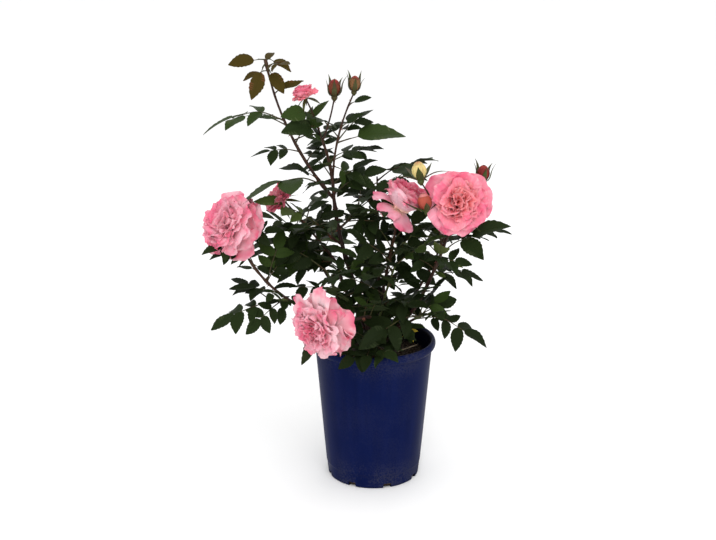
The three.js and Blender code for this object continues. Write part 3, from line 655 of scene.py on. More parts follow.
@dataclass(frozen=True)
class Tube:
    """A closed round limb: rings along a path, with a pole at each end."""

    rings: int
    sides: int

    def _cells(self) -> tuple[Array, Array]:
        """Ring and side number of each wall face."""
        k, j = np.meshgrid(np.arange(self.rings - 1), np.arange(self.sides), indexing="ij")
        return k.ravel(), j.ravel()

    def faces(self) -> Array:
        """Wall faces and end fans; a fan's fourth corner is -1."""
        s = self.sides
        k, j = self._cells()
        at, after = k * s, (j + 1) % s
        wall = np.stack([at + j, at + after, at + s + after, at + s + j], -1)
        j = np.arange(s)
        after = (j + 1) % s
        poles = self.rings * s
        last, none = poles - s, np.full(s, -1)
        start = np.stack([np.full(s, poles), after, j, none], -1)
        end = np.stack([np.full(s, poles + 1), last + j, last + after, none], -1)
        return np.concatenate([wall, start, end])

    def maps(self) -> Array:
        """Corner coordinates (around, along) of every face, from 0 to 1."""
        k, j = self._cells()
        dk, dj = 1 / (self.rings - 1), 1 / self.sides
        k, j = k / (self.rings - 1), j / self.sides
        corners = ((j, k), (j + dj, k), (j + dj, k + dk), (j, k + dk))
        wall = np.stack([np.stack(corner, -1) for corner in corners], axis=1)
        fan = np.zeros((self.sides, 4, 2))
        return np.concatenate([wall, fan, fan + np.array([0.0, 1.0])])

    def points(self, paths: Array, radii: Array) -> Array:
        """Points p + r (a cos t + b sin t), with the frame (a, b) carried without twist.

        Args:
            paths: shape (n, rings, 3).
            radii: shape (n, rings) or (n, rings, sides).

        Returns:
            Points, shape (n, rings * sides + 2, 3).
        """
        tangents = unit(np.gradient(paths, axis=1))
        side = np.cross(np.array([0.31, 0.17, 0.93]), tangents[:, 0])
        sides = []
        for k in range(self.rings):
            side = unit(side - tangents[:, k] * np.sum(side * tangents[:, k], -1, keepdims=True))
            sides.append(side)
        a = np.stack(sides, 1)
        b = np.cross(tangents, a)
        turn = circle(self.sides)
        radii = radii[..., None] if radii.ndim == 2 else radii
        radii = np.broadcast_to(radii, (*paths.shape[:2], self.sides))[..., None]
        ring = a[:, :, None] * np.cos(turn)[:, None] + b[:, :, None] * np.sin(turn)[:, None]
        wall = (paths[:, :, None] + ring * radii).reshape(len(paths), -1, 3)
        mean = radii.mean(axis=2)
        start = paths[:, :1] - tangents[:, :1] * mean[:, :1] * 0.4
        end = paths[:, -1:] + tangents[:, -1:] * mean[:, -1:] * 0.4
        return np.concatenate([wall, start, end], axis=1)


@dataclass
class Pile:
    """Sheets and tubes of one kind, joined into one piece of the scene."""

    name: str
    slot: str
    nodes: Iterable[str] = ()
    batches: list[tuple[Array, ...]] = field(default_factory=list)
    count: int = 0
    shapes: int = 0
    margin: float = 0.04

    def add(
        self,
        points: Array,
        faces: Array,
        maps: Array,
        tone: Array | float = 0.0,
        below: Array | None = None,
    ) -> None:
        """Adds copies of one shape.

        Args:
            points: shape (n, points, 3), in millimetres.
            faces: shape (faces, 4).
            maps: corner coordinates, shape (faces, 4, 2).
            tone: a value of each copy.
            below: True for faces at the back, which have the second material.
        """
        n, size = points.shape[:2]
        starts = self.count + np.arange(n)[:, None, None] * size
        back = np.zeros(len(faces), int) if below is None else below.astype(int)
        self.batches.append((
            points.reshape(-1, 3),
            np.where(faces[None] < 0, -1, faces[None] + starts).reshape(-1, 4),
            np.tile(maps, (n, 1, 1)),
            np.stack([np.repeat(self.shapes + np.arange(n), len(faces)), np.tile(back, n)], -1),
            np.repeat(np.broadcast_to(tone, n), size),
        ))
        self.count += n * size
        self.shapes += n

    def add_tubes(self, tube: Tube, paths: Array, radii: Array) -> None:
        """Adds limbs along paths, with radii of each ring, or of each of its points."""
        self.add(tube.points(paths, radii), tube.faces(), tube.maps())

    def add_sheets(
        self, sheet: Sheet, grid: Array, thick: float, tone: Array | float = 0.0, backed: bool = True
    ) -> None:
        """Adds thin sheets over middle surfaces, backed ones with the second material behind."""
        below = sheet.below() if backed else None
        self.add(sheet.points(grid, thick), sheet.faces(), sheet.maps(), tone, below)

    def add_turned(self, section: Array, rings: Array) -> None:
        """Adds the rings of a section turned about the axis, closed by its first and last points."""
        tube, poles = Tube(*rings.shape[:2]), [[0, 0, section[0, 1]], [0, 0, section[-1, 1]]]
        self.add(np.concatenate([rings.reshape(-1, 3), poles])[None], tube.faces(), tube.maps())

    def piece(
        self, materials: Sequence[Material], crease: float = 60.0, packed: bool = False
    ) -> Object:
        """Writes the mesh and rides it on the body.

        Args:
            materials: its material, or those of its front and its back.
            crease: faces that meet at a sharper angle than this keep a hard edge.
            packed: True to add a second map, in which no two shapes share a place.

        Returns:
            The object.
        """
        points, faces, maps, cells, tones = (np.concatenate(part) for part in zip(*self.batches))
        used = (faces >= 0).ravel()
        totals = (faces >= 0).sum(axis=1)
        mesh = bpy.data.meshes.new(self.name)
        mesh.vertices.add(self.count)
        mesh.vertices.foreach_set("co", (points * MM).astype(np.float32).ravel())
        mesh.loops.add(int(totals.sum()))
        mesh.loops.foreach_set("vertex_index", faces.ravel()[used].astype(np.int32))
        mesh.polygons.add(len(faces))
        for name, values in (
            ("loop_start", np.cumsum(totals) - totals), ("loop_total", totals),
            ("material_index", cells[:, 1]),
        ):
            mesh.polygons.foreach_set(name, values.astype(np.int32))
        places = {"Own": maps}
        if packed:
            places["OFBake"] = self._packed(cells, maps)
        for name, place in places.items():
            layer = mesh.uv_layers.new(name=name)
            layer.data.foreach_set("uv", place.reshape(-1, 2)[used].astype(np.float32).ravel())
        tone = mesh.attributes.new("tone", "FLOAT", "POINT")
        tone.data.foreach_set("value", tones.astype(np.float32))
        mesh.update(calc_edges=True)
        mesh.validate()
        mesh.shade_smooth()
        mesh.set_sharp_from_angle(angle=radians(crease))
        for material in materials:
            mesh.materials.append(material)
        piece = bpy.data.objects.new(self.name, mesh)
        bpy.context.scene.collection.objects.link(piece)
        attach(piece, "root")
        if self.nodes:
            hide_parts(*sorted(self.nodes))
        LOG.info("%s: %d faces", self.name, len(mesh.polygons))
        return piece

    def _packed(self, cells: Array, maps: Array) -> Array:
        """A map in which the front and the back of each shape have a cell of their own."""
        across, number = ceil(sqrt(self.shapes * 2)), cells[:, 0] * 2 + cells[:, 1]
        corner = np.stack([number % across, number // across], -1)[:, None]
        return (corner + self.margin + (1 - 2 * self.margin) * maps) / across


# ---- finishes


class Tree:
    """A material's or a group's nodes, with short ways to add and link them."""

    def __init__(self, tree: NodeTree) -> None:
        """Keeps the tree to fill, and its shader where it has one."""
        self.tree = tree
        self.shader = tree.nodes.get("Principled BSDF")

    def feed(self, socket: NodeSocket, value: object) -> None:
        """Links an output to a socket, or writes a plain value on it.

        Args:
            socket: the input.
            value: an output, a number, or a vector or colour.
        """
        if isinstance(value, NodeSocket):
            self.tree.links.new(value, socket)
        else:
            colour = socket.type == "RGBA" and len(value) == 3
            socket.default_value = (*value, 1.0) if colour else value

    def add(self, kind: str, links: dict | None = None, **settings: object) -> Node:
        """Adds a node.

        Args:
            kind: its type, without the ShaderNode in front.
            links: socket name or number to a value or an output.
            settings: its own settings.

        Returns:
            The node.
        """
        node = self.tree.nodes.new("ShaderNode" + kind)
        for name, value in settings.items():
            setattr(node, name, value)
        for key, value in (links or {}).items():
            self.feed(node.inputs[key], value)
        return node

    def maths(self, operation: str, a: object, b: object = 0.0, c: object = 0.0) -> NodeSocket:
        """A sum of one kind, such as ADD or MULTIPLY, on values or outputs."""
        return self.add("Math", {0: a, 1: b, 2: c}, operation=operation).outputs[0]

    def times(self, a: object, b: object) -> NodeSocket:
        """Two values or outputs multiplied."""
        return self.maths("MULTIPLY", a, b)

    def between(self, amount: object, low: object, high: object) -> NodeSocket:
        """A colour mixed from two: the first where the amount is 0, the second where it is 1."""
        return self.add("Mix", {0: amount, 6: low, 7: high}, data_type="RGBA").outputs[2]

    def over(
        self, value: object, low: float, high: float, to_low: float = 0.0, to_high: float = 1.0
    ) -> NodeSocket:
        """A value carried evenly from the range low to high to another one, and held inside it."""
        return self.add("MapRange", {0: value, 1: low, 2: high, 3: to_low, 4: to_high}).outputs[0]

    def noise(self, vector: object, scale: float, detail: float) -> NodeSocket:
        """Noise from 0 to 1 at places of a vector, with so many finer layers."""
        links = {"Vector": vector, "Scale": scale, "Detail": detail, "Roughness": 0.55}
        return self.add("TexNoise", links).outputs[0]

    def place(self) -> NodeSocket:
        """Places on the object, in metres."""
        return self.add("TexCoord").outputs["Object"]

    def own_map(self) -> NodeSocket:
        """Places on the piece's own map: across or around, and along."""
        return self.add("UVMap", uv_map="Own").outputs[0]

    def scaled(self, vector: object, *scale: float) -> NodeSocket:
        """A vector times a scale for each of its axes."""
        return self.add("Mapping", {"Vector": vector, "Scale": scale}).outputs[0]

    def parts(self, vector: object) -> Sequence[NodeSocket]:
        """A vector's x, y and z."""
        return self.add("SeparateXYZ", {0: vector}).outputs

    def worn(self, *values: object) -> Sequence[NodeSocket]:
        """Mask and height of the shared weathering, from places, two scales and a contrast."""
        return self.add("Group", dict(enumerate(values)), node_tree=dust_group()).outputs

    def dress(self, name: str, value: object) -> None:
        """Feeds a socket of the shader."""
        self.feed(self.shader.inputs[name], value)

    def relief(self, height: object, strength: float, deep: float) -> None:
        """Links a height to the shader's normal through a bump that is so many metres deep."""
        bump = self.add("Bump", {"Strength": strength, "Distance": deep, "Height": height})
        self.dress("Normal", bump.outputs[0])


def dust_group() -> NodeTree:
    """The shared group that says where dust, scuffs and fine relief lie on a surface.

    Mask is broad noise times fine noise, raised to a contrast; Height is the fine noise.

    Returns:
        The group, made once.
    """
    made = bpy.data.node_groups.get("Weathering")
    if made:
        return made
    group = bpy.data.node_groups.new("Weathering", "ShaderNodeTree")
    group.interface.new_socket("Vector", in_out="INPUT", socket_type="NodeSocketVector")
    for name, value in (("Broad Scale", 12.0), ("Fine Scale", 300.0), ("Contrast", 2.0)):
        socket = group.interface.new_socket(name, in_out="INPUT", socket_type="NodeSocketFloat")
        socket.default_value = value
    for name in ("Mask", "Height"):
        group.interface.new_socket(name, in_out="OUTPUT", socket_type="NodeSocketFloat")
    tree = Tree(group)
    inside = group.nodes.new("NodeGroupInput").outputs
    outside = group.nodes.new("NodeGroupOutput").inputs
    broad, fine = (
        tree.add("TexNoise", {"Vector": inside[0], "Scale": inside[number], "Detail": detail}).outputs[0]
        for number, detail in ((1, 3.0), (2, 4.0))
    )
    both = tree.times(tree.times(broad, fine), 4.0)
    tree.feed(outside[0], tree.maths("POWER", both, inside[3]))
    tree.feed(outside[1], fine)
    return group


@dataclass(frozen=True)
class Finish:
    """One colour, with plain values on the shader's own sockets; other finishes add to it."""

    name: str
    rough: float
    specular: float = 0.5
    colour: Colour = (0.97, 0.97, 0.97)

    def material(self) -> Material:
        """Makes the material, sets its plain values, and adds what the finish paints.

        Returns:
            The material.
        """
        material = bpy.data.materials.new(self.name)
        material.use_nodes = True
        tree = Tree(material.node_tree)
        tree.dress("Base Color", self.colour)
        tree.dress("Roughness", self.rough)
        tree.dress("Specular IOR Level", self.specular)
        self.paint(tree)
        return material

    def paint(self, tree: Tree) -> None:
        """Leaves the plain colour as it is."""


@dataclass(frozen=True)
class LeafFinish(Finish):
    """A leaf face: one plain colour, with veins and fine blisters in relief."""

    veins: float = 0.5
    vein_turns: float = 56.0
    grain: float = 420.0
    deep: float = 0.0006

    def paint(self, tree: Tree) -> None:
        """Side veins run out from the rib: a wave of s - 0.5|v|, nine along the leaflet.

        Args:
            tree: its nodes.
        """
        place = tree.parts(tree.own_map())
        off = tree.maths("ABSOLUTE", tree.maths("SUBTRACT", place[0], 0.5))
        wave = tree.maths("SINE", tree.times(tree.maths("SUBTRACT", place[1], off), self.vein_turns))
        rib = tree.over(off, 0.0, 0.05, 1.0, 0.0)
        vein = tree.maths("ADD", tree.over(wave, 0.75, 1.0, 0.0, 0.6), rib)
        grain = tree.noise(tree.place(), self.grain, 2.0)
        height = tree.maths("SUBTRACT", tree.times(grain, 0.5), vein)
        tree.relief(height, self.veins, self.deep)


@dataclass(frozen=True)
class StemFinish(Finish):
    """Bark or green skin: two colours in patches, streaked along the limb."""

    high: Colour = (0.1, 0.05, 0.03)
    streak: float = 60.0
    deep: float = 0.0006

    def paint(self, tree: Tree) -> None:
        """Patches come from the weathering mask, and streaks from noise stretched along the limb.

        Args:
            tree: its nodes.
        """
        worn = tree.worn(tree.place(), 22.0, 380.0, 1.4)
        streaks = tree.noise(tree.scaled(tree.own_map(), self.streak, self.streak * 0.35, 1.0), 1.0, 4.0)
        amount = tree.over(tree.times(worn[0], streaks), 0.15, 0.85)
        tree.dress("Base Color", tree.between(amount, self.colour, self.high))
        rough = tree.over(worn[1], 0.3, 0.7, self.rough - 0.1, self.rough + 0.12)
        tree.dress("Roughness", rough)
        height = tree.maths("ADD", streaks, tree.times(worn[1], 0.5))
        tree.relief(height, 0.6, self.deep)


SKINS = {
    skin.name: skin
    for skin in (
        StemFinish("Rose bark", 0.6, 0.2, (0.013, 0.006, 0.005), (0.052, 0.022, 0.016), 9.0),
        StemFinish("Red shoot", 0.5, 0.2, (0.018, 0.006, 0.005), (0.060, 0.028, 0.014), 7.0),
        StemFinish("Green shoot", 0.5, 0.2, (0.045, 0.035, 0.014), (0.085, 0.125, 0.036), 7.0),
        StemFinish("Leaf stalk", 0.5, 0.2, (0.050, 0.024, 0.012), (0.045, 0.055, 0.016), 6.0),
        StemFinish("Prickle", 0.45, 0.2, (0.10, 0.022, 0.018), (0.21, 0.07, 0.04), 4.0),
        StemFinish("Sepal", 0.5, 0.2, (0.055, 0.030, 0.012), (0.050, 0.080, 0.018)),
        StemFinish("Dry twig", 0.8, 0.2, (0.30, 0.22, 0.14), (0.52, 0.44, 0.32)),
    )
}


@dataclass(frozen=True)
class PetalFinish(Finish):
    """A petal: a scale of colours for its tone, a cream claw and a deeper, patchy rim.

    The scale runs from blush over pink and coral (1) to the dark red and the cream
    of buds (2). Ranges of tone say where inner petals, with pale lips, and flushed
    buds start.
    """

    scale: tuple[tuple[float, Colour], ...] = (
        (0.0, (0.86, 0.56, 0.6)), (0.3, (0.82, 0.33, 0.43)), (0.6, (0.84, 0.2, 0.27)),
        (1.0, (0.88, 0.12, 0.1)), (1.25, (0.56, 0.11, 0.07)), (1.5, (0.14, 0.012, 0.012)),
        (1.7, (0.085, 0.043, 0.014)), (2.0, (0.78, 0.6, 0.24)),
    )
    claw: Colour = (0.90, 0.68, 0.46)
    rim: Colour = (0.76, 0.075, 0.18)
    lip: Colour = (0.90, 0.38, 0.42)
    flush: Colour = (0.40, 0.05, 0.035)
    blush: Colour = (0.89, 0.62, 0.64)
    pale: float = 0.05
    inner_tones: Pair = (0.55, 0.8)
    bud_tones: Pair = (1.05, 1.25)
    deep: float = 0.0006
    glow: float = 0.25
    glow_radius: Colour = (0.006, 0.003, 0.003)
    glow_scale: float = 0.6

    def paint(self, tree: Tree) -> None:
        """Colour goes by tone, from the claw to the rim along the petal, and streaks with fine veins.

        Args:
            tree: its nodes.
        """
        tone = tree.add("Attribute", attribute_name="tone").outputs["Fac"]
        uv, at = tree.own_map(), tree.place()
        up = tree.parts(uv)[1]
        moved = tree.add(
            "VectorMath", {0: tree.scaled(uv, 22.0, 2.0, 1.0), 1: tree.scaled(at, 9.0, 9.0, 9.0)},
            operation="ADD",
        )
        streaks = tree.noise(moved.outputs[0], 1.0, 3.0)
        patch = tree.noise(at, 38.0, 2.0)
        rose = tree.over(tone, *self.bud_tones, 1.0, 0.0)
        inner = tree.times(tree.over(tone, *self.inner_tones), rose)
        worn = tree.times(tree.over(streaks, 0.45, 0.8, self.pale, self.pale + 0.3), rose)
        lips = tree.times(tree.over(up, 0.6, 1.0, 0.0, 0.75), inner)
        edge = tree.times(tree.over(up, 0.5, 1.0), tree.over(patch, 0.42, 0.6, 0.1, 0.9))
        edge = tree.times(edge, tree.maths("SUBTRACT", rose, inner))
        flush = tree.over(streaks, 0.45, 0.7, 0.0, 0.45)
        flush = tree.maths("ADD", flush, tree.over(up, 0.8, 0.97, 0.0, 0.5))
        flush = tree.times(flush, tree.maths("SUBTRACT", 1.0, rose))
        near = tree.maths("ADD", up, tree.times(streaks, 0.2))
        near = tree.maths("ADD", near, tree.over(tone, 0.0, 0.8, 0.0, 0.4))
        foot = tree.over(near, 0.3, 0.62, 0.85, 0.0)
        blade = self._tones(tree, tone)
        for amount, colour in (
            (worn, self.blush), (lips, self.lip), (edge, self.rim), (flush, self.flush), (foot, self.claw)
        ):
            blade = tree.between(amount, blade, colour)
        tree.dress("Base Color", blade)
        tree.dress("Subsurface Weight", self.glow)
        tree.dress("Subsurface Radius", self.glow_radius)
        tree.dress("Subsurface Scale", self.glow_scale)
        tree.relief(streaks, 0.4, self.deep)

    def _tones(self, tree: Tree, tone: NodeSocket) -> NodeSocket:
        """The scale as a colour ramp over tones.

        Args:
            tree: its nodes.
            tone: the tone's output.

        Returns:
            The colour's output.
        """
        end = self.scale[-1][0]
        ramp = tree.add("ValToRGB", {0: tree.maths("DIVIDE", tone, end)})
        stops = ramp.color_ramp.elements
        while len(stops) < len(self.scale):
            stops.new(0.5)
        for stop, (at, colour) in zip(stops, self.scale):
            stop.position, stop.color = at / end, (*colour, 1)
        return ramp.outputs[0]


@dataclass(frozen=True)
class PotFinish(Finish):
    """Moulded plastic: navy with a soft sheen, paler dust outside, and painted shade over the inner wall.

    Draft is how far the wall leans out to a unit of height; the painted shade inside is full up to the
    first of the two radii at the foot, in metres, and ends at the other.
    """

    colour: Colour = (0.0026, 0.0062, 0.041)
    dust: Colour = (0.06, 0.06, 0.075)
    # painted shade: a near-black colour laid over the inside of the pot, where shade falls
    painted_inner_shade: Colour = (0.0018, 0.0024, 0.008)
    draft: float = 0.0858
    inner_shade_radii: Pair = (0.0725, 0.074)
    streaked: float = 1.25

    def paint(self, tree: Tree) -> None:
        """Dust gathers at the foot and the lip; painted shade on the inner wall goes by the radius less
        draft times height.

        Args:
            tree: its nodes.
        """
        at = tree.place()
        worn = tree.worn(at, 16.0, 420.0, 2.6)
        high = tree.parts(at)[2]
        near = tree.maths(
            "ADD", tree.over(high, 0.0, 0.05, 0.5, 0.05), tree.over(high, 0.19, 0.235, 0.0, 0.35)
        )
        amount = tree.times(tree.over(worn[0], 0.5, 2.2), near)
        drawn = tree.noise(tree.scaled(at, 60.0, 60.0, 3.0), 1.0, 2.0)
        pale = tuple(value * self.streaked for value in self.colour)
        shade = tree.between(tree.over(drawn, 0.3, 0.7), self.colour, pale)
        radius = tree.add("VectorMath", {0: tree.scaled(at, 1.0, 1.0, 0.0)}, operation="LENGTH")
        upright = tree.maths("MULTIPLY_ADD", high, -self.draft, radius.outputs["Value"])
        # painted shade: everything inside the wall's inner face, up to the lip, is mixed to the near-black
        # shade colour
        inside = tree.over(upright, *self.inner_shade_radii, 1.0, 0.0)
        skin = tree.between(inside, tree.between(amount, shade, self.dust), self.painted_inner_shade)
        tree.dress("Base Color", skin)
        rough = tree.maths("ADD", tree.over(drawn, 0.3, 0.7, self.rough - 0.05, self.rough + 0.05), amount)
        tree.dress("Roughness", rough)
        tree.relief(worn[1], 0.12, 0.0003)


@dataclass(frozen=True)
class EarthFinish(Finish):
    """Potting mix: near-black crumbs with browner fibres and pale specks."""

    colour: Colour = (0.012, 0.009, 0.007)
    brown: Colour = (0.036, 0.022, 0.013)
    fleck: Colour = (0.32, 0.26, 0.18)

    def paint(self, tree: Tree) -> None:
        """Brown patches over the dark base, and flecks where fine noise is highest.

        Args:
            tree: its nodes.
        """
        at = tree.place()
        worn = tree.worn(at, 40.0, 520.0, 1.6)
        base = tree.between(tree.over(worn[0], 0.4, 1.6), self.colour, self.brown)
        speck = tree.over(tree.noise(at, 700.0, 1.0), 0.68, 0.74)
        tree.dress("Base Color", tree.between(speck, base, self.fleck))
        tree.relief(worn[1], 1.0, 0.0015)


# the upper and the under side of each tone of leaf
LEAF_COLOURS = {
    Tone.MATURE: ((0.0155, 0.0265, 0.0075), (0.036, 0.050, 0.020)),
    Tone.DEEP: ((0.0105, 0.0175, 0.0052), (0.024, 0.034, 0.014)),
    Tone.LIT: ((0.027, 0.048, 0.010), (0.060, 0.080, 0.030)),
    Tone.YOUNG: ((0.060, 0.090, 0.018), (0.10, 0.12, 0.040)),
    Tone.BRONZE: ((0.052, 0.036, 0.006), (0.115, 0.050, 0.020)),
    Tone.YELLOW: ((0.55, 0.40, 0.05), (0.5, 0.40, 0.09)),
}


# ---- the pot and its mix


@dataclass
class Pot:
    """The moulded pot: one wall with a rolled lip, a step near its foot, notches and drains."""

    height: float = 233.0
    rim: float = 100.0
    foot: float = 74.5
    wall: float = 2.6
    floor: float = 3.0
    lip_height: float = 15.0
    lip_out: float = 5.5
    roll: float = 4.0
    roll_arc: Pair = (-62.0, 118.0)
    heel: float = 3.0
    step_height: float = 22.0
    step_out: float = 1.0
    notches: int = 8
    notch: Triple = (16.0, 13.0, 9.0)
    notch_turn: float = 17.0
    drains: int = 4
    drain_ring: float = 40.0
    drain_radius: float = 6.0
    drain_turn: float = 45.0
    segments: int = 144
    crease: float = 32.0

    def wall_radius(self, height: float) -> float:
        """The outer radius, which grows evenly from the foot to the lip."""
        return self.foot + (self.rim - self.lip_out - self.foot) * height / self.height

    def profile(self) -> Array:
        """The section of the wall, from the middle of the underside to the middle of the floor.

        Arcs of the heel and of the rolled lip are c + r (cos a, sin a).

        Returns:
            (radius, height) points.
        """
        lip, half = self.height - self.lip_height, self.lip_height * 0.46
        heel = np.radians(np.linspace(-90, 0, 5))
        heel_arc = [self.foot - self.heel + self.heel * np.cos(heel), self.heel + self.heel * np.sin(heel)]
        turn = np.radians(np.linspace(*self.roll_arc, 13))
        roll = [self.rim - self.roll + self.roll * np.cos(turn), self.height - half + half * np.sin(turn)]
        step, up = self.step_height, self.wall_radius(self.step_height)
        out = up + self.step_out
        inner = self.wall_radius(lip) - self.wall
        foot_inner = self.wall_radius(self.floor) - self.wall
        return np.concatenate(
            [
                [[0, 0], [30, 0], [60, 0]],
                np.stack(heel_arc, -1),
                [[self.wall_radius(10), 10], [up, step - 0.4], [up + 0.25, step + 0.3]],
                [[out, step + 1.6], [out + 0.1, step + 3]],
                [[self.wall_radius(z) + self.step_out, z] for z in (60, 100, 140, 180, lip - 1.2)],
                [[self.wall_radius(lip) + self.step_out + 0.8, lip - 0.2]],
                np.stack(roll, -1),
                [[inner + 2.0, self.height - 2.6], [inner + 1.1, self.height - 5]],
                [[inner + 0.6, lip - 2], [inner, lip - 6]],
                [[self.wall_radius(z) - self.wall, z] for z in (170, 120, 60)],
                [[foot_inner, self.floor + 1.2], [foot_inner - 1.2, self.floor]],
                [[50, self.floor], [0, self.floor]],
            ]
        )

    def build(self) -> None:
        """Turns the section about the axis, dresses the pot, and cuts the notches and drains."""
        section = self.profile()
        pile = Pile("pot_shell", "pot", nodes=["pot"])
        pile.add_turned(section, lathe(section[1:-1], self.segments))
        plastic = PotFinish("Navy moulded plastic", rough=0.34, specular=0.02)
        piece = pile.piece([plastic.material()], crease=self.crease)
        self._cut(piece)

    def _cutters(self) -> Object:
        """Boxes round the foot, and round drills through the floor.

        Returns:
            The cutters, as one piece.
        """
        cutters = Pile("cutters", "pot")
        block, drill = Tube(2, 4), Tube(2, 20)
        depth, width, high = self.notch
        corner = np.array([[1, 1], [-1, 1], [-1, -1], [1, -1]]) * np.array([depth, width]) / 2
        for i in range(self.notches):
            a = radians(self.notch_turn + 360 * i / self.notches)
            out, side = np.array([cos(a), sin(a)]), np.array([-sin(a), cos(a)])
            flat = out * (self.foot + corner[:, :1]) + side * corner[:, 1:]
            levels = [np.column_stack([flat, np.full(4, z)]) for z in (-1.0, high - 1)]
            middle = [[*out * self.foot, z] for z in (-1.0, high - 1)]
            cutters.add(np.vstack([*levels, middle])[None], block.faces(), block.maps())
        reach = self.floor * 2 * UP
        for i in range(self.drains):
            middle = direction(self.drain_turn + 360 * i / self.drains, 90) * self.drain_ring
            path = np.stack([middle - reach, middle + reach])[None]
            cutters.add_tubes(drill, path, np.full((1, 2), self.drain_radius))
        return cutters.piece([])

    def _cut(self, piece: Object) -> None:
        """Cuts the notches and the drains, and takes the cutters away.

        Args:
            piece: the pot.
        """
        tool = self._cutters()
        cut = piece.modifiers.new("notches", "BOOLEAN")
        cut.operation, cut.solver, cut.object = "DIFFERENCE", "EXACT", tool
        bpy.context.view_layer.update()
        graph = bpy.context.evaluated_depsgraph_get()
        mesh = bpy.data.meshes.new_from_object(piece.evaluated_get(graph))
        piece.modifiers.clear()
        piece.data = mesh
        mesh.set_sharp_from_angle(angle=radians(self.crease))
        bpy.data.objects.remove(tool)


@dataclass
class Mix:
    """The potting mix: an uneven plug, crumbs of bark, a dry twig and a fallen leaf."""

    pot: Pot
    top: float = 204.0
    foot: float = 3.3
    gap: float = 3.2
    sides: int = 128
    dip: float = 1.5
    crumbs: int = 420
    crumb_size: Pair = (0.9, 3.6)
    crumb_shape: tuple[float, ...] = (0.45, 0.9, 0.85, 0.4)
    twig: Curve = Curve(28, 84, 46, 8, 24)
    twig_foot: Pair = (38.0, 6.0)
    leaf_foot: Pair = (43.0, 60.0)

    def build(self) -> None:
        """Makes the plug, the crumbs, the twig and the leaf."""
        earth = EarthFinish("Damp potting mix", rough=0.9, specular=0.2).material()
        self._plug(earth)
        self._crumbs(earth)
        self._twig()
        self._fallen()

    def _radius(self, height: float) -> float:
        """The plug's radius at a height."""
        return self.pot.wall_radius(height) - self.gap

    def _plug(self, earth: Material) -> None:
        """A lathe form whose top is raised by noise, up to 2 mm, and dips at the wall.

        Args:
            earth: its material.
        """
        edge = self._radius(self.top)
        lower = [(r * self._radius(self.foot), self.foot) for r in (0.35, 0.7, 1.0)]
        wall = [(self._radius(z), z) for z in (60, 120, self.top - 4)]
        upper = [(edge * r, self.top) for r in np.linspace(1, 0.02, 42)]
        section = np.array(lower + wall + upper)
        ring = lathe(section, self.sides)
        raised = (section[:, 1] == self.top)[:, None]
        rough = 0.9 * ripple(ring, 26, 3) + 0.7 * ripple(ring, 9, 4) + 0.5 * ripple(ring, 4, 5)
        rough = np.clip(rough - 1.0 - (section[:, :1] / edge) ** 8 * self.dip, -6, 1.8)
        ring[..., 2] += np.where(raised, rough, 0)
        pile = Pile("mix_plug", "potting_mix", nodes=["potting_mix"])
        pile.add_turned(np.array([[0, self.foot], *section, [0, self.top]]), ring)
        pile.piece([earth])

    def _crumbs(self, earth: Material) -> None:
        """Bits of bark: squat six-sided lumps, turned at random, thrown evenly over the top.

        Args:
            earth: their material.
        """
        rng, n, tube = np.random.default_rng(SEEDS.crumbs), self.crumbs, Tube(4, 6)
        out = (self._radius(self.top) - 5) * np.sqrt(rng.uniform(0.04, 1, n))
        turn = rng.uniform(0, 2 * pi, n)
        size = rng.uniform(*self.crumb_size, n)
        middle = np.stack([out * np.cos(turn), out * np.sin(turn), np.full(n, self.top - 0.4)], -1)
        way = unit(np.stack([rng.normal(size=n), rng.normal(size=n), rng.normal(size=n) * 0.35], -1))
        reach = np.linspace(-1, 1, 4)[None, :, None] * (size * rng.uniform(0.8, 2.2, n))[:, None, None]
        radii = size[:, None, None] * np.array(self.crumb_shape)[None, :, None]
        radii = radii * rng.uniform(0.6, 1.1, (n, 4, 6)) * 0.6
        pile = Pile("mix_crumbs", "potting_mix")
        pile.add_tubes(tube, middle[:, None] + way[:, None] * reach, radii)
        pile.piece([earth], crease=30)

    def _twig(self) -> None:
        """A dry twig that lies near the wall."""
        tube = Tube(14, 8)
        foot = np.array([*self.twig_foot, self.top + 2])
        path = smooth_path(self.twig.grow(foot, 5), tube.rings)[None]
        radii = np.linspace(1.5, 0.9, tube.rings)[None] * (1 + 0.12 * ripple(path, 7, 8))
        pile = Pile("dry_twig", "bark")
        pile.add_tubes(tube, path, radii)
        pile.piece([SKINS["Dry twig"].material()])

    def _fallen(self) -> None:
        """A yellow leaf that lies by the canes."""
        foot = np.array([*self.leaf_foot, self.top + 8])
        normal = unit(np.array([-0.1, -0.9, 0.4]))
        leaf = Leaflet(foot, direction(70, 28), normal, length=26.0, width=0.42)
        fallen = Pile("fallen_leaf", "foliage")
        LeafBlades().add_to(fallen, [leaf], seed=5, curl=1.6)
        top, back = LEAF_COLOURS[Tone.YELLOW]
        sides = (
            LeafFinish("Yellow leaf", rough=0.6, colour=top),
            LeafFinish("Yellow leaf back", rough=0.7, colour=back),
        )
        fallen.piece([side.material() for side in sides], crease=LEAF_CREASE)


# ---- leaves

# leaf faces that meet at a sharper angle than this, in degrees, keep a hard edge
LEAF_CREASE = 50.0


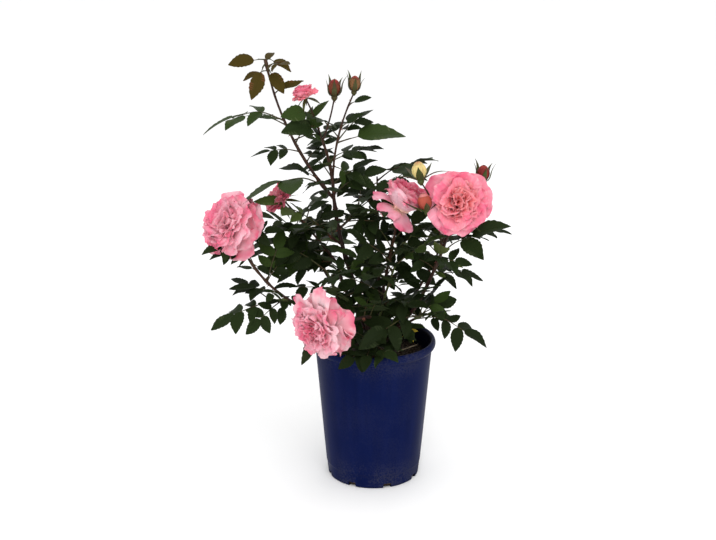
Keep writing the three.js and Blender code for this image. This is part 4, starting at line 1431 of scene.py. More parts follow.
@dataclass(frozen=True)
class LeafBlades:
    """Leaflets as thin sheets: an egg-shaped outline with a drawn-out toothed tip."""

    sheet: Sheet = Sheet(15, 3)
    widest: float = 0.42
    fold: float = 0.2
    sag: float = 0.14
    tooth: float = 0.045
    tooth_reach: float = 0.009
    thick: float = 0.55

    def _teeth(self) -> Array:
        """1 and -1 in turn from row to row."""
        return np.where(np.arange(self.sheet.rows) % 2, 1, -1)

    def outline(self) -> Array:
        """Half width along the leaflet: an ellipse up to the widest place, a cosine beyond it.

        Every other row stands out as a tooth.

        Returns:
            Shares of the greatest half width, one for each row.
        """
        s = np.linspace(0, 1, self.sheet.rows)
        rise = np.sqrt(np.clip(1 - ((self.widest - s) / self.widest) ** 2, 0, 1))
        fall = np.cos(pi / 2 * np.clip((s - self.widest) / (1 - self.widest), 0, 1)) ** 0.85
        teeth = 1 + self.tooth * self._teeth() * np.sin(pi * s) ** 0.5
        return np.maximum(np.where(s < self.widest, rise, fall) * teeth, 0.03)

    def add_to(self, pile: Pile, leaflets: Sequence[Leaflet], seed: int, curl: float = 1.0) -> None:
        """Adds leaflets to a pile: root + along s + across v + normal (fold |v| - sag s2 + wave).

        Args:
            pile: where they go.
            leaflets: the leaflets.
            seed: for their waves and twists.
            curl: how much they wave and twist.
        """
        draws = Scatter(np.random.default_rng(seed), (len(leaflets), 1, 1, 1))
        root, way, normal = (
            np.array([getattr(leaf, name) for leaf in leaflets])[:, None, None]
            for name in ("root", "along", "normal")
        )
        length, width = (
            np.array([getattr(leaf, name) for leaf in leaflets])[:, None, None, None]
            for name in ("length", "width")
        )
        s, v = (place[..., None] for place in self.sheet.span())
        half = self.outline()[None, :, None, None] * length * width
        twist = draws.one(-0.35, 0.35) * curl * s
        across = np.cross(normal, way)
        bank, rock = np.cos(twist), np.sin(twist)
        across, face = across * bank + normal * rock, normal * bank - across * rock
        fold = self.fold * draws.one(0.5, 1.9) * np.abs(v) * half
        lift = fold - self.sag * draws.one(0.5, 1.6) * length * s**2 * curl
        wave = draws.one(-0.05, 0.05) * curl
        wave = wave * np.sin(draws.one(5, 9) * s + draws.one(0, 6)) * length * np.abs(v)
        side = draws.one(-0.06, 0.06) * length * np.sin(pi * s)
        teeth = self.tooth_reach * length * np.abs(v) * self._teeth()[None, :, None, None]
        ahead = length * s + teeth * np.sin(pi * s)
        grid = root + way * ahead + across * (half * v + side) + face * (lift + wave)
        pile.add_sheets(self.sheet, grid, self.thick)


@dataclass
class Foliage:
    """All leaves: blades by tone, their stalks, and the small wings at their feet."""

    leaves: list[Leaf] = field(default_factory=list)
    stalk: Tube = Tube(9, 6)
    wing: Sheet = Sheet(6, 3)
    wing_length: float = 13.0
    wing_half: float = 1.7
    wing_thick: float = 0.5

    def build(self) -> None:
        """Makes a piece for each tone of blade, and one for the stalks."""
        for number, tone in enumerate(Tone):
            leaflets = [leaflet for leaf in self.leaves if leaf.tone is tone for leaflet in leaf.leaflets]
            pile = Pile(f"leaves_{tone.value}", "foliage", nodes=SPRAYS)
            LeafBlades().add_to(pile, leaflets, seed=SEEDS.blades + number)
            name, (top, back) = tone.value.capitalize(), LEAF_COLOURS[tone]
            sides = (
                LeafFinish(f"{name} leaf", rough=0.5, specular=0.04, colour=top),
                LeafFinish(f"{name} leaf back", rough=0.65, specular=0.02, colour=back, veins=0.9),
            )
            pile.piece([side.material() for side in sides], crease=LEAF_CREASE, packed=True)
        self._stalks()

    def _stalks(self) -> None:
        """Stalks as tapering tubes along each rachis, and a pair of narrow wings at its foot."""
        path = smooth_path(np.array([leaf.rachis for leaf in self.leaves]), self.stalk.rings)
        size = np.array([leaf.size for leaf in self.leaves])[:, None]
        s = np.linspace(0, 1, self.stalk.rings)[None]
        radii = (0.75 + 0.3 * size) * (1.25 - 0.7 * s + 0.5 * np.exp(-((s / 0.06) ** 2)))
        pile = Pile("leaf_stalks", "foliage", nodes=SPRAYS)
        pile.add_tubes(self.stalk, path, radii)
        way = unit(path[:, 1] - path[:, 0])
        level = unit(np.cross(UP, way) + 1e-6)
        raised = np.cross(way, level)
        root, way, level, raised = (vectors[:, None, None] for vectors in (path[:, 0], way, level, raised))
        size = size[:, :, None, None]
        t, v = (place[..., None] for place in self.wing.span())
        wide = self.wing_half * size * (np.sin(pi * np.clip(t * 0.85 + 0.1, 0, 1)) + 0.1)
        grid = root + way * (self.wing_length * size * t) + level * wide * v
        grid = grid + raised * (0.9 * np.abs(v) * t)
        pile.add_sheets(self.wing, grid, self.wing_thick, backed=False)
        pile.piece([SKINS["Leaf stalk"].material()], crease=LEAF_CREASE)


# ---- wood and shoots


@dataclass(frozen=True)
class LimbDetail:
    """How finely a kind of limb is made: rings, sides, depth of bark, and room between prickles."""

    rings: int
    sides: int
    bark: float
    prickle_room: float


@dataclass
class Wood:
    """Trunk, canes, green shoots and their prickles."""

    head: float = 238.0
    ground: float = 204.3
    flare: float = 17.0
    waist: float = 11.0
    knuckle: float = 14.0
    lean: float = 3.0
    stock: Tube = Tube(34, 40)
    roots: int = 5
    cane: LimbDetail = LimbDetail(60, 14, 0.05, 13.0)
    shoot: LimbDetail = LimbDetail(40, 10, 0.025, 26.0)
    prickle: Tube = Tube(5, 6)
    prickle_size: Pair = (2.6, 5.2)
    bare_foot: float = 0.1
    rng: Random = field(default_factory=lambda: np.random.default_rng(SEEDS.prickles))
    prickle_rows: list[tuple[Array, Array, float]] = field(default_factory=list)

    @property
    def crown(self) -> Array:
        """The middle of the trunk's head, where canes start."""
        return np.array([0.0, 0.0, self.head])

    @staticmethod
    def _skin(path: Array, radius: Array, turn: Array) -> Array:
        """Points near a limb's skin, level rings about its path, at which bark is read."""
        ring = np.stack([np.cos(turn), np.sin(turn), 0 * turn], -1)
        return path[:, None] + radius[:, None, None] * ring

    def trunk(self, pile: Pile) -> None:
        """The stock: its radius eases from flare to waist, then swells to the knuckled head.

        Args:
            pile: where it goes.
        """
        s = np.linspace(0, 1, self.stock.rings)
        high = self.head - self.ground
        low = self.flare + (self.waist - self.flare) * np.sqrt(np.clip(2 * s, 0, 1))
        top = self.waist + (self.knuckle - self.waist) * np.sin(pi * np.clip(s - 0.5, 0, 1) * 1.5)
        radius = np.where(s < 0.5, low, top) * np.where(s > 0.93, 0.94, 1)
        path = np.stack([self.lean * (s - 1), 0 * s, self.ground + high * s], -1)
        turn = circle(self.stock.sides)
        roots = 1 + 0.13 * np.clip(1 - 3 * s, 0, 1)[:, None] * np.cos(self.roots * turn + 0.6)
        where = self._skin(path, radius, turn)
        bark = 0.5 * ripple(where, 11, 31) + 0.35 * ripple(where * [1, 1, 0.4], 3.5, 32)
        pile.add_tubes(self.stock, path[None], (radius[:, None] * roots + bark)[None])

    def limb(
        self, pile: Pile, joints: Array, radius: Pair, detail: LimbDetail,
        knots: Iterable[float],
    ) -> None:
        """A limb that tapers evenly, swells at its knots, and carries bark in relief and prickles.

        Args:
            pile: where it goes.
            joints: its joints.
            radius: at its foot and tip.
            detail: how finely it is made.
            knots: where it swells.
        """
        path = smooth_path(joints, detail.rings)
        s = np.linspace(0, 1, detail.rings)
        thick = radius[0] + (radius[1] - radius[0]) * s
        for knot in knots:
            thick = thick * (1 + 0.22 * np.exp(-(((s - knot) * detail.rings / 1.6) ** 2)))
        where = self._skin(path, thick, circle(detail.sides))
        rough = 1 + detail.bark * (ripple(where, 9, 41) + 0.8 * ripple(where * [1, 1, 0.35], 3, 42))
        tube = Tube(detail.rings, detail.sides)
        pile.add_tubes(tube, path[None], (thick[:, None] * rough)[None])
        self._prickles(path, radius, detail.prickle_room)

    def _prickles(self, path: Array, radius: Pair, room: float) -> None:
        """Notes prickles along a limb at a rough spacing, each at a random turn.

        Args:
            path: the limb's path.
            radius: at its foot and tip.
            room: usual distance between them.
        """
        length = np.linalg.norm(np.diff(path, axis=0), axis=1).sum()
        for _ in range(int(length * (1 - self.bare_foot) / room)):
            s = self.rng.uniform(self.bare_foot, 0.95)
            tangent = heading_at(path, s)
            out = turned(side_of(tangent), tangent, self.rng.uniform(0, 2 * pi))
            thick = radius[0] + (radius[1] - radius[0]) * s
            size = self.rng.uniform(*self.prickle_size) * (0.55 + 0.16 * thick)
            self.prickle_rows.append((along(path, s) + out * thick * 0.8, out - tangent * 0.12, size))

    def prickle_piece(self) -> None:
        """Prickles as small bent cones: p + out t + down 0.32 t2, with radius falling to the tip."""
        foot, out, size = (np.array(values) for values in zip(*self.prickle_rows))
        foot, out, size = foot[:, None], unit(out)[:, None], size[:, None, None]
        t = np.linspace(0, 1, self.prickle.rings)[None, :, None]
        path = foot + out * t * size - UP * 0.32 * size * t**2
        radii = (size[..., 0] * 0.36) * (1 - t[..., 0]) ** 1.3 + 0.08
        pile = Pile("prickles", "bark", nodes=CANES)
        pile.add_tubes(self.prickle, path, radii)
        pile.piece([SKINS["Prickle"].material()])


# ---- blooms


@dataclass(frozen=True)
class Whorl:
    """A ring of petals: how many, where they sit, how they lean, and how big they are.

    Lengths are shares of the bloom's radius, and tone runs from 0 for its outer
    shade to 1 for its inner one.
    """

    count: int
    inset: float
    claw: float
    lip: float
    reach: float
    half: float
    tone: float
    turn: float = 0.0
    lift: float = 0.04
    ruffle: float = 0.07
    curl: float = 0.14
    taper: float = 0.0
    jitter: float = 1.0


@dataclass(frozen=True)
class Heart:
    """The crumpled small petals in the middle: how many, how far out they root, and their size."""

    count: int
    spread: float
    reach: float
    half: float
    lift: float = 0.06
    lean: float = 34.0


@dataclass(frozen=True)
class Sepals:
    """How five sepals grow: the bend at their feet, its spread, where it starts, and their width.

    Those that ease lie shut up to their start.
    """

    bend: float
    spread: Pair
    still: float
    broad: float
    eases: bool = False


WHORLS = {
    Form.FULL: (
        Whorl(6, 0.05, 76, 94, 0.95, 0.6, 0.0, 0, 0.0, 0.085, 0.2, jitter=1.6),
        Whorl(6, 0.05, 64, 78, 0.97, 0.58, 0.1, 31, curl=0.16, jitter=1.8),
        Whorl(6, 0.05, 50, 62, 0.9, 0.54, 0.25, 8, 0.06, 0.09, jitter=2.0),
        Whorl(7, 0.05, 38, 44, 0.78, 0.44, 0.45, 40, 0.08, 0.09, jitter=1.8),
    ),
    Form.LAYERED: (
        Whorl(7, 0.06, 102, 122, 1.0, 0.56, 0.0, 12, -0.04, 0.1, -0.16, jitter=1.8),
        Whorl(7, 0.06, 88, 104, 0.98, 0.54, 0.1, 38, 0.0, 0.1, -0.14, jitter=2.0),
        Whorl(7, 0.05, 72, 88, 0.94, 0.54, 0.2, 8, 0.06, 0.09, 0.1, jitter=2.0),
        Whorl(7, 0.05, 58, 72, 0.86, 0.52, 0.35, 30, 0.08, jitter=1.6),
        Whorl(7, 0.05, 44, 52, 0.74, 0.46, 0.6, 0, 0.1, jitter=1.4),
    ),
    Form.OPEN: (
        Whorl(6, 0.05, 66, 78, 0.98, 0.6, 0.0),
        Whorl(6, 0.05, 50, 60, 0.9, 0.52, 0.4, 30, 0.08),
    ),
    Form.CUP: (
        Whorl(5, 0.06, 70, 2, 1.34, 0.72, 0.0, 11, 0.0, 0.05, 0.35, jitter=0.8),
        Whorl(5, 0.05, 58, 2, 1.3, 0.62, 0.3, 56, 0.05, 0.07, 0.2),
        Whorl(6, 0.05, 44, 2, 1.18, 0.5, 0.6, 9, 0.06, 0.08, 0.1, jitter=1.4),
    ),
    Form.HALF: (
        Whorl(5, 0.05, 78, 60, 1.05, 0.68, 0.0, 0, 0.02, 0.1, 0.3, jitter=1.8),
        Whorl(5, 0.05, 58, 20, 1.08, 0.62, 0.5, 36, 0.05, 0.09, 0.2, jitter=1.6),
        Whorl(6, 0.05, 40, 4, 1.0, 0.5, 0.8, 10, 0.05, 0.09, 0.1, jitter=1.6),
    ),
    Form.BUD: (
        Whorl(3, 0.04, 66, -74, 3.3, 1.5, 0.0, 0, 0.3, 0.0, 0.0, 0.5, 0.3),
        Whorl(3, 0.02, 58, -64, 3.15, 1.4, 1.0, 60, 0.4, 0.0, 0.0, 0.5, 0.3),
    ),
}
WHORLS[Form.BLOWN] = WHORLS[Form.LAYERED]
HEARTS = {
    Form.FULL: Heart(60, 0.38, 0.42, 0.17, 0.26, 38.0),
    Form.LAYERED: Heart(42, 0.42, 0.54, 0.24, 0.16, 30.0),
    Form.BLOWN: Heart(50, 0.42, 0.52, 0.2, 0.16, 30.0),
    Form.OPEN: Heart(30, 0.45, 0.66, 0.19),
    Form.CUP: Heart(32, 0.42, 1.0, 0.22, lean=14.0),
    Form.HALF: Heart(16, 0.3, 0.85, 0.26, lean=20.0),
}
# petals that stand apart from the whorls
LOOSE = {
    Form.CUP: (
        Whorl(1, 0.07, 74, -16, 1.5, 0.85, 0.0, 150, 0.0, 0.03, 0.3, jitter=0.0),
        Whorl(1, 0.1, 112, 130, 0.98, 0.76, 0.25, 243, 0.0, 0.05, 0.1, jitter=0.0),
        Whorl(1, 0.1, 96, 116, 0.98, 0.54, 0.0, 155, 0.0, 0.06, 0.1, jitter=0.0),
        Whorl(1, 0.1, 62, 120, 1.2, 0.34, 0.0, 104, 0.0, 0.06, 0.2, jitter=0.0),
    ),
    Form.BLOWN: (
        Whorl(1, 0.08, 84, 94, 1.42, 0.34, 0.0, 72, 0.0, 0.06, 0.1, jitter=0.0),
        Whorl(1, 0.08, 82, 90, 1.22, 0.34, 0.1, 136, 0.0, 0.07, 0.1, jitter=0.0),
    ),
}
SHUT_SEPALS = Sepals(66.0, (25.0, 120.0), 0.42, 0.16, eases=True)
OPENING_SEPALS = Sepals(58.0, (-30.0, 60.0), 0.1, 0.2)
OPEN_SEPALS = Sepals(118.0, (10.0, 50.0), 0.1, 0.14)


@dataclass
class Bloom:
    """One rose or bud: whorls of petals round a crumpled heart, over a round hip with sepals."""

    frame: BloomFrame
    seed: int
    sheet: Sheet = Sheet(10, 13)
    small: Sheet = Sheet(7, 7)
    sepal: Sheet = Sheet(8, 3)
    hip: tuple[float, ...] = (0.38, 0.62, 0.9, 1.0, 0.98, 0.86, 0.8, 0.78)
    hip_sides: int = 12
    opening_radius: float = 10.0
    sepal_length: float = 27.0
    golden: float = 137.5
    petal_thick: float = 0.5
    small_thick: float = 0.4
    sepal_thick: float = 0.6

    def petals(self, pile: Pile) -> None:
        """Adds every petal of the bloom.

        Args:
            pile: where they go.
        """
        rng = np.random.default_rng(self.seed)
        form = self.frame.row.form
        for whorl in WHORLS[form] + LOOSE.get(form, ()):
            self._whorl(pile, whorl, rng)
        if form in HEARTS:
            self._heart(pile, HEARTS[form], rng)

    def _shade(self, tone: Array | float) -> Array | float:
        """The place on the petal colour scale of a share between outer and inner petals."""
        outer, inner = self.frame.row.shade
        return np.clip(outer + (inner - outer) * tone, 0, 2)

    def _whorl(self, pile: Pile, whorl: Whorl, rng: Random) -> None:
        """A whorl's petals: each bends from its claw's lean to its lip's and wraps the axis.

        Out and high are the running sums of sin and cos of the lean; the angle is the
        turn plus the width over the distance out; the lip is notched, ruffled and curled.

        Args:
            pile: where they go.
            whorl: its named values.
            rng: their draws.
        """
        n = whorl.count
        draws = Scatter(rng, (n, 1, 1), whorl.jitter)
        s, v = self.sheet.span()
        turn = np.radians(whorl.turn + 360 * np.arange(n) / n)[:, None, None] + draws.about(0.1)
        claw, lip = (np.radians(value) + draws.about(0.09) for value in (whorl.claw, whorl.lip))
        lean = claw + (lip - claw) * s**1.2
        reach = whorl.reach * (1 + draws.about(0.06))
        out, high = (
            start + running(part, reach)
            for start, part in ((whorl.inset, np.sin(lean)), (whorl.lift, np.cos(lean)))
        )
        short = (0.14 * v**2 + 0.05 * np.exp(-((v / 0.22) ** 2))) * s**2 * reach * (1 - whorl.taper)
        back = whorl.curl * np.clip(s - 0.62, 0, 1) ** 2 * 4 * (0.5 + 0.9 * v**2)
        back = back * (1 + draws.about(0.35))
        beat, shift = rng.uniform(2.4, 4.4, (n, 1, 1)), rng.uniform(0, 6.3, (n, 1, 1))
        wave = np.sin(v * beat + shift) + 0.6 * np.sin(v * beat * 1.9 + shift * 2)
        wave = whorl.ruffle * (wave * s**1.7 + 0.45 * np.sin(v * beat * 4.3 + shift * 5) * s**6)
        short = short + 0.35 * whorl.ruffle * np.sin(v * beat * 1.5 + shift * 3) * s**3
        out = out - short * np.sin(lean) + (back * 0.3 - wave) * np.cos(lean)
        high = high - short * np.cos(lean) - back + (wave + 0.05 * v**2 * s) * np.sin(lean)
        wide = whorl.half * (1 + draws.about(0.08)) * (
            0.22 + 0.78 * np.sin(pi / 2 * np.clip(s / 0.72, 0, 1)) ** 0.9
        )
        wide = wide * (1 - whorl.taper * s**3)
        grid = self.frame.point(high, out, turn + v * wide / np.maximum(out, 0.3))
        tone = self._shade(whorl.tone + rng.uniform(-0.12, 0.12, n))
        pile.add_sheets(self.sheet, grid, self.petal_thick, tone)

    def _heart(self, pile: Pile, heart: Heart, rng: Random) -> None:
        """Small petals rooted in a sunflower spiral, each turned its own way and crumpled.

        A petal leans more the farther out it is, and bends; two sines across it,
        growing to the lip, fold it.

        Args:
            pile: where they go.
            heart: its named values.
            rng: their draws.
        """
        n = heart.count
        draws = Scatter(rng, (n, 1, 1))
        share = ((np.arange(n) + 0.5) / n)[:, None, None]
        foot = heart.spread * share**0.7
        turn = np.radians(self.golden * np.arange(n))[:, None, None] + draws.one(-0.2, 0.2)
        face = turn + rng.normal(0, 0.75, (n, 1, 1))
        s, v = self.small.span()
        lean = heart.lean * (1.4 * np.sqrt(share) - 0.4) + draws.one(-12, 12) + draws.one(-6, 30) * s**1.5
        lean = np.radians(lean)
        reach = heart.reach * draws.one(0.82, 1.08)
        half = heart.half * draws.one(0.75, 1.25)
        half = half * (0.35 + 0.65 * np.sin(pi / 2 * np.clip(s / 0.7, 0, 1)))
        beat, shift = draws.one(2.2, 4.2), draws.one(0, 6.3)
        fold = (np.sin(beat * v + shift) + 0.5 * np.sin(2.1 * beat * v + 2 * shift)) * 0.055 * s
        fold = fold - 0.30 * half * v**2 * s
        rise = reach * (s - 0.10 * v**2 * s**2 + 0.05 * np.sin(1.7 * beat * v + shift) * s**2)
        ahead = rise * np.sin(lean) + fold * np.cos(lean)
        high = heart.lift + rise * np.cos(lean) - fold * np.sin(lean)
        x = foot * np.cos(turn) + ahead * np.cos(face) - half * v * np.sin(face)
        y = foot * np.sin(turn) + ahead * np.sin(face) + half * v * np.cos(face)
        place = self.frame
        grid = high[..., None] * place.axis + x[..., None] * place.u + y[..., None] * place.w
        tone = self._shade(1.05 - 0.35 * share[:, 0, 0] + rng.uniform(-0.2, 0.1, n))
        pile.add_sheets(self.small, place.base + grid * place.row.radius, self.small_thick, tone)

    def calyx(self, pile: Pile) -> None:
        """Adds the hip, a short lathe form, and five sepals that taper and bend outwards.

        Args:
            pile: where they go.
        """
        row, place = self.frame.row, self.frame
        bud = row.form is Form.BUD
        size = row.radius * 0.5 if bud else 3.6 + row.radius * 0.03
        tube = Tube(len(self.hip), self.hip_sides)
        s = np.linspace(0, 1, tube.rings)
        path = place.base + place.axis * ((s - 0.35) * size * 2.3)[:, None]
        pile.add_tubes(tube, path[None], (size * np.array(self.hip))[None])
        kind = OPEN_SEPALS
        if bud:
            kind = OPENING_SEPALS if row.radius > self.opening_radius else SHUT_SEPALS
        rng = np.random.default_rng(self.seed + SEEDS.sepals)
        draws = Scatter(rng, (5, 1, 1, 1))
        t, v = (part[..., None] for part in self.sepal.span())
        turn = 2 * pi * (np.arange(5) + 0.5) / 5 + rng.uniform(-0.15, 0.15, 5)
        out = (np.cos(turn)[:, None] * place.u + np.sin(turn)[:, None] * place.w)[:, None, None]
        side = np.cross(place.axis, out)
        length = (3.5 * row.radius if bud else self.sepal_length) * draws.one(0.85, 1.15)
        spread = draws.one(*kind.spread)
        bend = kind.bend * np.clip(1 - t / kind.still, 0, 1) if kind.eases else kind.bend
        lean = np.radians(bend + spread * np.clip(t - kind.still, 0, 1))
        taper = np.sin(pi * np.clip(0.16 + t * 0.7, 0, 1)) * (1 - t) ** 0.8
        wide = length * (kind.broad * taper + 0.006)
        inset, unit_size = ((0.3, 0.42), row.radius) if bud else ((-0.1, 0.9), size)
        start = place.base + (place.axis * inset[0] + out * inset[1]) * unit_size
        grid = start + out * running(np.sin(lean), length) + place.axis * running(np.cos(lean), length)
        grid = grid + side * wide * v
        grid = grid + (out * np.cos(lean) - place.axis * np.sin(lean)) * -0.25 * wide * np.abs(v)
        pile.add_sheets(self.sepal, grid, self.sepal_thick, backed=False)


# ---- the plant

GREENS = (Tone.MATURE, Tone.DEEP, Tone.LIT, Tone.YOUNG)
# share of each green among a spray's leaves
TONE_WEIGHTS = {
    "usual": (0.5, 0.36, 0.12, 0.02),
    "bronze_spray": (0.45, 0.2, 0.3, 0.05),
    "bud_spray": (0.56, 0.3, 0.14, 0.0),
    "right_bloom_spray": (0.5, 0.25, 0.2, 0.05),
    "skirt_spray": (0.4, 0.6, 0.0, 0.0),
}
# sprays with green shoots
GREEN = {
    "lower_left_spray", "front_bloom_spray", "lower_right_spray", "skirt_spray", "core_spray",
    "left_core_spray",
}
# usual distance between finer leaves, in millimetres
FINER = {
    "usual": 30.0, "bronze_spray": 50.0, "bud_spray": 140.0, "right_bloom_spray": 70.0,
    "core_spray": 26.0, "skirt_spray": 10.0, "lower_right_spray": 9.0,
}


@dataclass
class RoseBush:
    """The whole plant, spray by spray."""

    wood: Wood = field(default_factory=Wood)
    rule: LeafRule = LeafRule()
    foliage: Foliage = field(default_factory=Foliage)
    cane_steps: int = 6
    stem_steps: int = 7
    shoot_steps: int = 4
    cane_knots: int = 4
    turn_of_leaves: float = 144.0
    bronze_from: float = 0.7
    bare_cane: str = "leader_cane"
    cane_leaf_room: Pair = (70.0, 24.0)
    cane_leaf_span: Pair = (0.45, 0.55)
    old_leaf_cane: str = "lower_right_cane"
    old_leaf: LeafRow = LeafRow(0.66, 285.0, 0.0, 0.5, 1)
    border: float = 4.0
    laid: list[tuple[bool, Leaf]] = field(default_factory=list)
    blooms: list[BloomFrame] = field(default_factory=list)

    def fill_rows(self, fill: Fill, dice: Dice) -> tuple[LeafRow, ...]:
        """A spiral of leaves up a shoot.

        Args:
            fill: how many, how big and where they start.
            dice: their draws.

        Returns:
            The rows.
        """
        return tuple(
            LeafRow(
                (i + 0.5) / fill.count, fill.heading + self.turn_of_leaves * i + dice.between(-20, 20),
                dice.between(20, 50), fill.size * dice.between(0.85, 1.1), pairs=2,
            )
            for i in range(fill.count)
        )

    def finer_rows(self, length: float, rng: Random, room: float) -> tuple[LeafRow, ...]:
        """Finer leaves between the main ones, in a spiral, smaller and with fewer pairs.

        Args:
            length: the shoot's length.
            rng: their draws.
            room: usual distance between them.

        Returns:
            The rows.
        """
        count = max(int(length / room), 1)
        first = rng.uniform(0, 360)
        return tuple(
            LeafRow(
                at=float(np.clip((i + rng.uniform(0.2, 0.9)) / count, 0.05, 1)),
                heading=first + self.turn_of_leaves * i + rng.uniform(-25, 25),
                rise=rng.uniform(5, 50), size=rng.uniform(0.5, 0.78), pairs=int(rng.choice([1, 2, 2])),
            )
            for i in range(count)
        )

    def tone_of(self, row: LeafRow, name: str, rng: Random) -> Tone:
        """A leaf's colour group: bronze near its spray's tip, and otherwise dealt by the weights."""
        bronze = name == "bronze_spray" and row.at > self.bronze_from
        weights = TONE_WEIGHTS.get(name, TONE_WEIGHTS["usual"])
        return Tone.BRONZE if bronze else GREENS[int(rng.choice(4, p=weights))]

    def _lay(
        self, listed: Iterable[LeafRow], shoot: Array, name: str, facing: float, dice: Dice,
        tones: Random, main: bool,
    ) -> None:
        """Lays out rows' leaves on a shoot's joints; the solids have the main ones too."""
        for row in listed:
            leaf = self.rule.leaf(shoot, row, facing, dice, self.tone_of(row, name, tones))
            self.laid.append((main, leaf))

    def _spray(self, order: int, name: str, stem: Array, shoots: Pile) -> None:
        """Makes a spray's stem and side shoots, and lays out their leaves and blooms.

        Args:
            order: its number in the table.
            name: its name.
            stem: its stem's joints.
            shoots: where they go.
        """
        spray = SPRAYS[name]
        dice = Dice(SEEDS.leaves + SEEDS.leaf_step * order)
        tones = np.random.default_rng(SEEDS.tones + order)
        for form in (spray, *spray.shoots):
            joints = stem
            if form is not spray:
                joints = form.curve.grow(along(stem, form.at), self.shoot_steps)
            knots = [row.at for row in form.leaves]
            self.wood.limb(shoots, joints, form.radius, self.wood.shoot, knots)
            if form.bloom:
                self.blooms.append(BloomFrame.on_tip(joints[-1], form.bloom))
            filled = form is spray and spray.fill
            listed = self.fill_rows(spray.fill, dice) if filled else form.leaves
            self._lay(listed, joints, name, spray.facing, dice, tones, main=True)
            finer = self.finer_rows(form.curve.length, tones, FINER.get(name, FINER["usual"]))
            spare = Dice(SEEDS.finer_leaves + SEEDS.finer_step * order)
            self._lay(finer, joints, name, spray.facing, spare, tones, main=False)

    def _cane_leaves(self, canes: dict[str, Array]) -> None:
        """Lays out finer leaves on the canes' upper halves, and an old leaf low down.

        Args:
            canes: joints of every cane.
        """
        foot, reach = self.cane_leaf_span
        for order, (name, joints) in enumerate(canes.items()):
            if name == self.bare_cane:
                continue
            tones = np.random.default_rng(SEEDS.cane_tones + order)
            spare = Dice(SEEDS.cane_leaves + SEEDS.finer_step * order)
            length, room = self.cane_leaf_room
            finer = [replace(row, at=foot + reach * row.at) for row in self.finer_rows(length, tones, room)]
            self._lay(finer, joints, "usual", 1.0, spare, tones, main=False)
        joints, dice = canes[self.old_leaf_cane], Dice(SEEDS.old_leaf)
        self.laid.append((True, self.rule.leaf(joints, self.old_leaf, 1.0, dice, Tone.YELLOW)))

    def _keep(self) -> None:
        """Keeps leaflets clear of blooms, and finer ones inside the solids' reach."""
        rooms = [room for bloom in self.blooms for room in bloom.rooms()]
        middles, reaches = (np.array(values) for values in zip(*rooms))
        fronts = np.array([bloom.middle + bloom.axis * bloom.row.radius * 0.7 for bloom in self.blooms])
        radii = np.array([bloom.row.radius for bloom in self.blooms])
        low, high = np.array(CAD_BOX[0]) / MM + self.border, np.array(CAD_BOX[1]) / MM - self.border
        for main, leaf in self.laid:
            kept = []
            for leaflet in leaf.leaflets:
                place = leaflet.root + leaflet.along * leaflet.length * 0.6
                tip = leaflet.root + leaflet.along * leaflet.length
                clear = np.all(np.linalg.norm(middles - place, axis=1) >= reaches)
                if not main:
                    clear &= np.all(np.linalg.norm(fronts - place, axis=1) >= radii * 1.05)
                    clear &= np.all(tip > low) and np.all(tip < high)
                if clear:
                    kept.append(leaflet)
            leaf.leaflets = kept
            if kept or main:
                self.foliage.leaves.append(leaf)

    def build(self) -> None:
        """Builds wood, shoots, leaves and blooms, and dresses them."""
        wood = self.wood
        canes = {
            name: cane.curve.grow(wood.crown + cane.foot, self.cane_steps) for name, cane in CANES.items()
        }
        bark = Pile("trunk_and_canes", "bark", nodes={"trunk", *CANES})
        red_shoots = Pile("red_shoots", "foliage", nodes=set(SPRAYS) - GREEN)
        green_shoots = Pile("green_shoots", "foliage", nodes=GREEN)
        wood.trunk(bark)
        rng = np.random.default_rng(SEEDS.knots)
        for name, cane in CANES.items():
            knots = rng.uniform(0.15, 0.95, self.cane_knots)
            wood.limb(bark, canes[name], cane.radius, wood.cane, knots)
        for order, (name, spray) in enumerate(SPRAYS.items()):
            foot = wood.crown + spray.at if spray.on == "trunk" else along(canes[spray.on], spray.at)
            stem = spray.curve.grow(foot, self.stem_steps)
            self._spray(order, name, stem, green_shoots if name in GREEN else red_shoots)
        self._cane_leaves(canes)
        self._keep()
        bark.piece([SKINS["Rose bark"].material()])
        red_shoots.piece([SKINS["Red shoot"].material()])
        green_shoots.piece([SKINS["Green shoot"].material()])
        self._roses()
        wood.prickle_piece()
        self.foliage.build()

    def _roses(self) -> None:
        """Makes the petals of every bloom, and their hips and sepals."""
        bearing = {
            name for name, spray in SPRAYS.items()
            if spray.bloom or any(shoot.bloom for shoot in spray.shoots)
        }
        petals = Pile("rose_petals", "foliage", nodes=bearing)
        calyx = Pile("hips_and_sepals", "foliage", nodes=bearing)
        for number, bloom in enumerate(self.blooms):
            rose = Bloom(bloom, SEEDS.petals + number)
            rose.petals(petals)
            rose.calyx(calyx)
        front = PetalFinish("Rose petal", rough=0.55, specular=0.15)
        back = replace(front, name="Rose petal back", pale=0.3)
        petals.piece([front.material(), back.material()], packed=True)
        calyx.piece([SKINS["Sepal"].material()], crease=LEAF_CREASE)


# ---- the studio


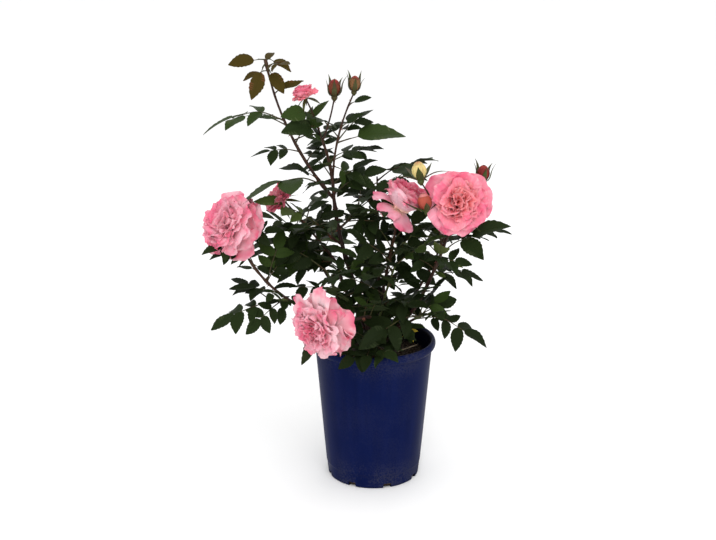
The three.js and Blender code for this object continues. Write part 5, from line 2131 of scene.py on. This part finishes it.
@dataclass
class Studio:
    """A pale floor, soft light and the camera."""

    eye: Triple = (-0.0254, -2.0, 0.948)
    down: float = 16.75
    lens: float = 66.04
    sensor: float = 36.0
    daylight: float = 1.04
    aim: Triple = (0.0, 0.0, 0.35)
    rings: tuple[float, ...] = (0.4, 1.5, 4.0, 9.0)
    sides: int = 96

    def build(self) -> None:
        """Makes the floor, the lights and the camera."""
        self._floor()
        scene = bpy.context.scene
        world = bpy.data.worlds.new("Studio")
        world.use_nodes = True
        background = world.node_tree.nodes["Background"]
        background.inputs[0].default_value = (1.0, 1.0, 1.0, 1.0)
        background.inputs[1].default_value = self.daylight
        scene.world = world
        self._lamp("Key", (0.3, -1.9, 2.4), 1.2, 20.0)
        self._lamp("Fill", (-0.2, -2.4, 1.1), 1.0, 10.0)
        self._lamp("Back", (0.4, 1.8, 1.9), 1.4, 6.0)
        camera = bpy.data.objects.new("Camera", bpy.data.cameras.new("Camera"))
        camera.data.lens, camera.data.sensor_width = self.lens, self.sensor
        camera.location = self.eye
        camera.rotation_euler = (radians(90 - self.down), 0.0, 0.0)
        scene.collection.objects.link(camera)
        scene.camera = camera
        scene.view_settings.view_transform = "Standard"

    def _floor(self) -> None:
        """A round plane far wider than the plant: rings of quads round a fan."""
        n, rings = self.sides, len(self.rings)
        grid = lathe(np.array([[radius, 0.0] for radius in self.rings]), n)
        points = np.concatenate([grid.reshape(-1, 3), np.zeros((1, 3))])
        k, j = (a.ravel() for a in np.meshgrid(np.arange(rings - 1), np.arange(n), indexing="ij"))
        after = (j + 1) % n
        quads = np.stack([k * n + j, (k + 1) * n + j, (k + 1) * n + after, k * n + after], -1).tolist()
        fans = [[len(points) - 1, i, (i + 1) % n] for i in range(n)]
        mesh = bpy.data.meshes.new("floor")
        mesh.from_pydata(points.tolist(), [], quads + fans)
        mesh.materials.append(Finish("Pale floor", rough=0.9, specular=0.1).material())
        floor = bpy.data.objects.new("floor", mesh)
        bpy.context.scene.collection.objects.link(floor)

    def _lamp(self, name: str, place: Triple, size: float, power: float) -> None:
        """A square lamp that faces the plant's middle.

        Args:
            name: its name.
            place: where it stands, in metres.
            size: its side.
            power: its power in watts.
        """
        data = bpy.data.lights.new(name, "AREA")
        data.size, data.energy = size, power
        lamp = bpy.data.objects.new(name, data)
        lamp.location = place
        way = np.array(self.aim) - place
        flat = hypot(way[0], way[1])
        lamp.rotation_euler = (atan2(flat, -way[2]), 0.0, atan2(way[1], way[0]) - pi / 2)
        bpy.context.scene.collection.objects.link(lamp)


def main() -> None:
    """Builds the studio, the pot, its mix and the bush."""
    Studio().build()
    pot = Pot()
    pot.build()
    Mix(pot).build()
    RoseBush().build()
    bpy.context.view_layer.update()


if __name__ == "__main__":
    logging.basicConfig(level=logging.INFO, format="%(message)s")
    main()
